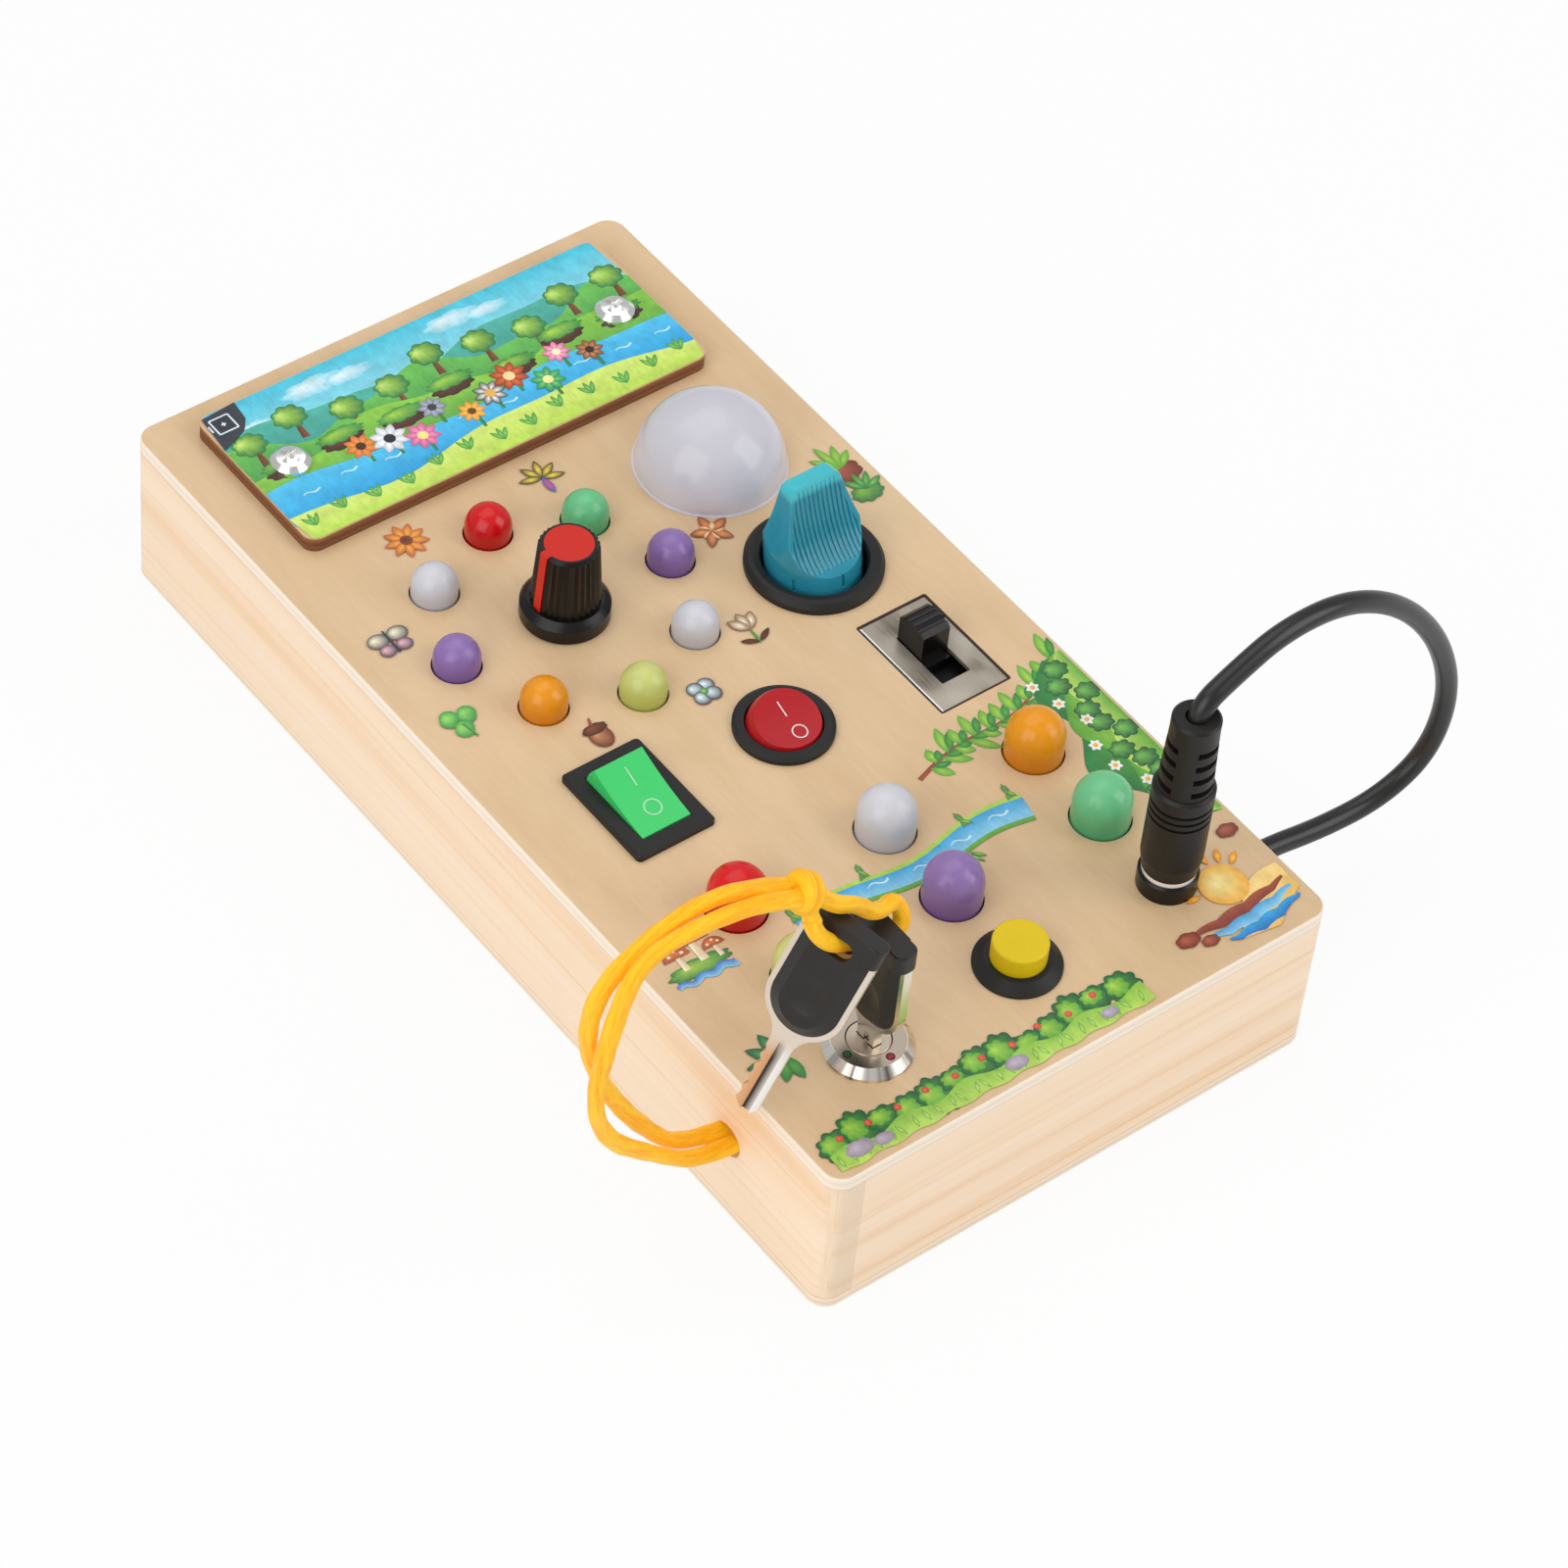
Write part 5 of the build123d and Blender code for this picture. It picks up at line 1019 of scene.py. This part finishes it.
def satin_cord(name):
    """Satin: long fine threads, laid in a slow twist, with soft creases between them. Painted shade turns the colour
    darker orange in the creases, mixed with random tone, and the cord glows faintly in its own colour as painted light.
    """
    cord = Finish(name)
    twist, stretch = 60.0, 0.09
    lay = cord.node("UVMap", {"uv_map": "lay"})
    round_way = cord.node("SeparateXYZ", {}, {0: lay}, "X") * (2 * pi)
    long_way = cord.node("SeparateXYZ", {}, {0: lay}, "Y")
    wound = round_way + long_way * twist
    thread = cord.node("CombineXYZ", {}, {0: cord.node("Math", {"operation": "COSINE"}, {0: wound}) * cord_radius,
                                          1: cord.node("Math", {"operation": "SINE"}, {0: wound}) * cord_radius,
                                          2: long_way * stretch})
    fibres = cord.node("TexNoise", {}, {"Vector": thread, "Scale": 5200.0, "Detail": 3.0})
    creases = cord.node("TexNoise", {}, {"Vector": thread, "Scale": 900.0, "Detail": 2.0})
    place = cord.node("TexCoord", output="Object")
    patches = cord.node("TexNoise", {}, {"Vector": place, "Scale": 90.0, "Detail": 2.0})
    tone = fibres * 0.4 + creases * 0.5 + patches * 0.2
    # Painted shade: the ramp runs darker orange where the creases lie low, plus random tone
    colour = cord.node("ValToRGB", {"stops": [(0.38, ink("ee9404")), (0.5, ink("fcb206")), (0.62, ink("ffc61e"))]},
                       {"Fac": tone})
    relief = cord.node("Bump", {}, {"Height": fibres * 0.5 + creases * 1.0, "Strength": 0.75, "Distance": 0.00035})
    # Painted light: a faint emission in the cord's own colour, though the cord is no lamp
    return cord.surface({"Base Color": colour, "Roughness": fibres * 0.2 + 0.34, "Normal": relief,
                         "Specular IOR Level": 0.3, "Sheen Weight": 0.2, "Sheen Roughness": 0.4,
                         "Sheen Tint": ink("ffe9a0"), "Emission Color": colour, "Emission Strength": 0.12,
                         "Subsurface Weight": 0.2, "Subsurface Radius": (1.0, 0.6, 0.15),
                         "Subsurface Scale": 0.0008})


cord_satin_painted_glow = satin_cord("cord_satin_painted_glow")
knot_centre = Vector((-0.0449, -0.0762, 0.0771))
knot_along = Vector((0.87, -0.05, -0.49)).normalized()
knot_side = Vector((0.05, 0.87, 0.0)).normalized()
knot_up = knot_along.cross(knot_side).normalized()

outer_line = smooth_line("outer_line", [
    (-0.0440, -0.0693, 0.0168), (-0.0575, -0.0694, 0.0182), (-0.0678, -0.0699, 0.0320), (-0.0759, -0.0706, 0.0474),
    (-0.0809, -0.0717, 0.0620), (-0.0800, -0.0726, 0.0739), (-0.0728, -0.0732, 0.0806), (-0.0632, -0.0740, 0.0846),
    (-0.053429, -0.074207, 0.081951), (-0.046902, -0.074582, 0.078275)])
inner_line = smooth_line("inner_line", [
    (-0.0440, -0.0723, 0.0168), (-0.0565, -0.0726, 0.0174), (-0.0675, -0.0732, 0.0282), (-0.0768, -0.0740, 0.0384),
    (-0.0810, -0.0747, 0.0506), (-0.0796, -0.0756, 0.0660), (-0.0760, -0.0763, 0.0812), (-0.0665, -0.0769, 0.0837),
    (-0.053166, -0.077228, 0.081706), (-0.047074, -0.077578, 0.078275)])
loop_start = (-0.04448, -0.07753, 0.07255)
loop_line = smooth_line("loop_line", [
    loop_start, (-0.044001, -0.079389, 0.067325), (-0.033811, -0.079393, 0.062661),
    (-0.0351, -0.077393, 0.0564), (-0.0242, -0.077093, 0.0564), (-0.0247, -0.074593, 0.0619),
    (-0.0299, -0.076193, 0.0623), (-0.0345, -0.0767, 0.0684), (-0.0398, -0.0769, 0.0716),
    (-0.0429, -0.0764, 0.0759)])


def knot_spot(along, side, up):
    """A point in the knot, in millimetres along it, to the back and up."""
    return tuple(knot_centre + (knot_along * along + knot_side * side + knot_up * up) * mm)


wrap_radius, wrap_start, wrap_pitch = 2.3, -1.7, 0.2
wrap = [knot_spot(-1.2, 0.4, 0.2)]
for step in range(16):
    turn = radians(200 - 45 * step)
    wrap.append(knot_spot(wrap_start + wrap_pitch * step, wrap_radius * cos(turn), wrap_radius * sin(turn)))
wrap.append(knot_spot(1.4, 0.2, 0.0))
knot_lines = [
    smooth_line("knot_wrap", wrap),
    smooth_line("knot_core_one", [knot_spot(-2.8, 1.5, 0), knot_spot(-1.0, 1.3, 0.2), knot_spot(0.8, 0.6, 0.2),
                                  knot_spot(2.2, 0.3, 0.4)]),
    smooth_line("knot_core_two", [knot_spot(-2.8, -1.5, 0), knot_spot(-1.0, -1.3, -0.2), knot_spot(1.0, -0.9, 0.2),
                                  knot_spot(2.2, -0.6, 0.2)]),
    smooth_line("knot_tail", [knot_spot(0.6, -0.6, 1.2), knot_spot(0.8, -1.6, -0.6), (-0.04449, -0.0773, 0.0746),
                              loop_start, (-0.04400, -0.0780, 0.0712)]),
]
knot = cord_piece("cord_knot_tied", knot_lines, cord_radius, cord_satin_painted_glow, flatness=0.06)
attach(knot, "key_set")
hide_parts("cord_knot")

for name, line, node in (("key_cord_outer_strand", outer_line, "key_cord_outer"),
                         ("key_cord_inner_strand", inner_line, "key_cord_inner")):
    strand = cord_piece(name, [line], cord_radius, cord_satin_painted_glow, flatness=0.07)
    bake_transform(strand)
    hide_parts(node)

key_loop = cord_piece("key_loop_cord", [loop_line], cord_radius, cord_satin_painted_glow, flatness=0.05)
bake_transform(key_loop)
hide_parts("key_loop")


# --- Lead and plug --------------------------------------------------------------
# Round black cable, 3.7 mm thick, that leaves the box through the right side and
# arches over into a moulded plug. The plug's chromed barrel stands in a black jack.

dress(gloss_black, "dc_jack")
dress(moulded("plug_black", ink("1c1a18"), roughness=0.42, grain=2400.0, bump=0.2), "dc_plug")
ring_chrome = Finish("ring_chrome")
ring_place = ring_chrome.node("TexCoord", output="Object")
ring_lines = ring_chrome.node("TexNoise", {}, {"Vector": ring_place, "Scale": 900.0, "Detail": 2.0})
ring_colour = ring_chrome.mix(ring_lines, ink("ffffff"), ink("f4f2ef"))
dress(ring_chrome.surface({"Base Color": ring_colour, "Metallic": 0.35, "Roughness": ring_lines * 0.08 + 0.14}),
      "dc_plug_barrel")

cable_radius = 0.00185
cable_jacket = Finish("cable_jacket")
cable_place = cable_jacket.node("TexCoord", output="Object")
cable_skin = cable_jacket.node("TexNoise", {}, {"Vector": cable_place, "Scale": 1400.0, "Detail": 3.0})
cable_dull = cable_jacket.node("TexNoise", {}, {"Vector": cable_place, "Scale": 90.0, "Detail": 2.0})
cable_tone = cable_jacket.mix(cable_skin * 0.5 + cable_dull * 0.5, ink("161514"), ink("242220"))
cable_relief = cable_jacket.node("Bump", {}, {"Height": cable_skin, "Strength": 0.12, "Distance": 0.00005})
cable_finish = cable_jacket.surface({"Base Color": cable_tone, "Roughness": cable_dull * 0.12 + 0.24,
                                     "Normal": cable_relief})
cable_line = smooth_line("cable_line", [
    (0.0313, -0.0774, 0.0674), (0.0313, -0.0774, 0.0726), (0.0384, -0.0765, 0.0749), (0.0495, -0.0754, 0.0778),
    (0.0635, -0.0748, 0.0760), (0.0775, -0.0742, 0.0665), (0.0890, -0.0737, 0.0515), (0.0954, -0.0732, 0.0350),
    (0.0942, -0.0728, 0.0210), (0.0860, -0.0721, 0.0142), (0.0735, -0.0714, 0.0132), (0.0585, -0.0710, 0.0160),
    (0.0440, -0.0710, 0.0160)])
cable = cord_piece("lead_cable", [cable_line], cable_radius, cable_finish)
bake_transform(cable)
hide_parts("dc_cable")


# --- Push button ----------------------------------------------------------------
# Yellow cap in a black bezel and bushing, held by a nut under the top panel. A
# steel coil spring stands on the bushing's floor; it is drawn at rest and does not close up as the cap is pressed.

dress(bezel_black, "push_bezel", "push_nut")
dress(moulded("cap_yellow", ink("eaca06"), roughness=0.4, grain=2000.0, bump=0.12), "push_cap")

coil_low, coil_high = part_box("push_spring")
coil_middle = ((coil_low[0] + coil_high[0]) / 2, (coil_low[1] + coil_high[1]) / 2)
coil_wire, coil_radius, coil_turns, coil_steps = 0.0003, 0.0032, 5, 40
coil_line = []
for step in range(coil_turns * coil_steps + 1):
    turn = 2 * pi * step / coil_steps
    rise = coil_wire + (coil_high[2] - coil_low[2] - 2 * coil_wire) * step / (coil_turns * coil_steps)
    coil_line.append(Vector((coil_middle[0] + coil_radius * cos(turn), coil_middle[1] + coil_radius * sin(turn),
                             coil_low[2] + rise)))
coil = cord_piece("button_spring", [coil_line], coil_wire, spring_wire, around=10)
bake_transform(coil)
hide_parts("push_spring")
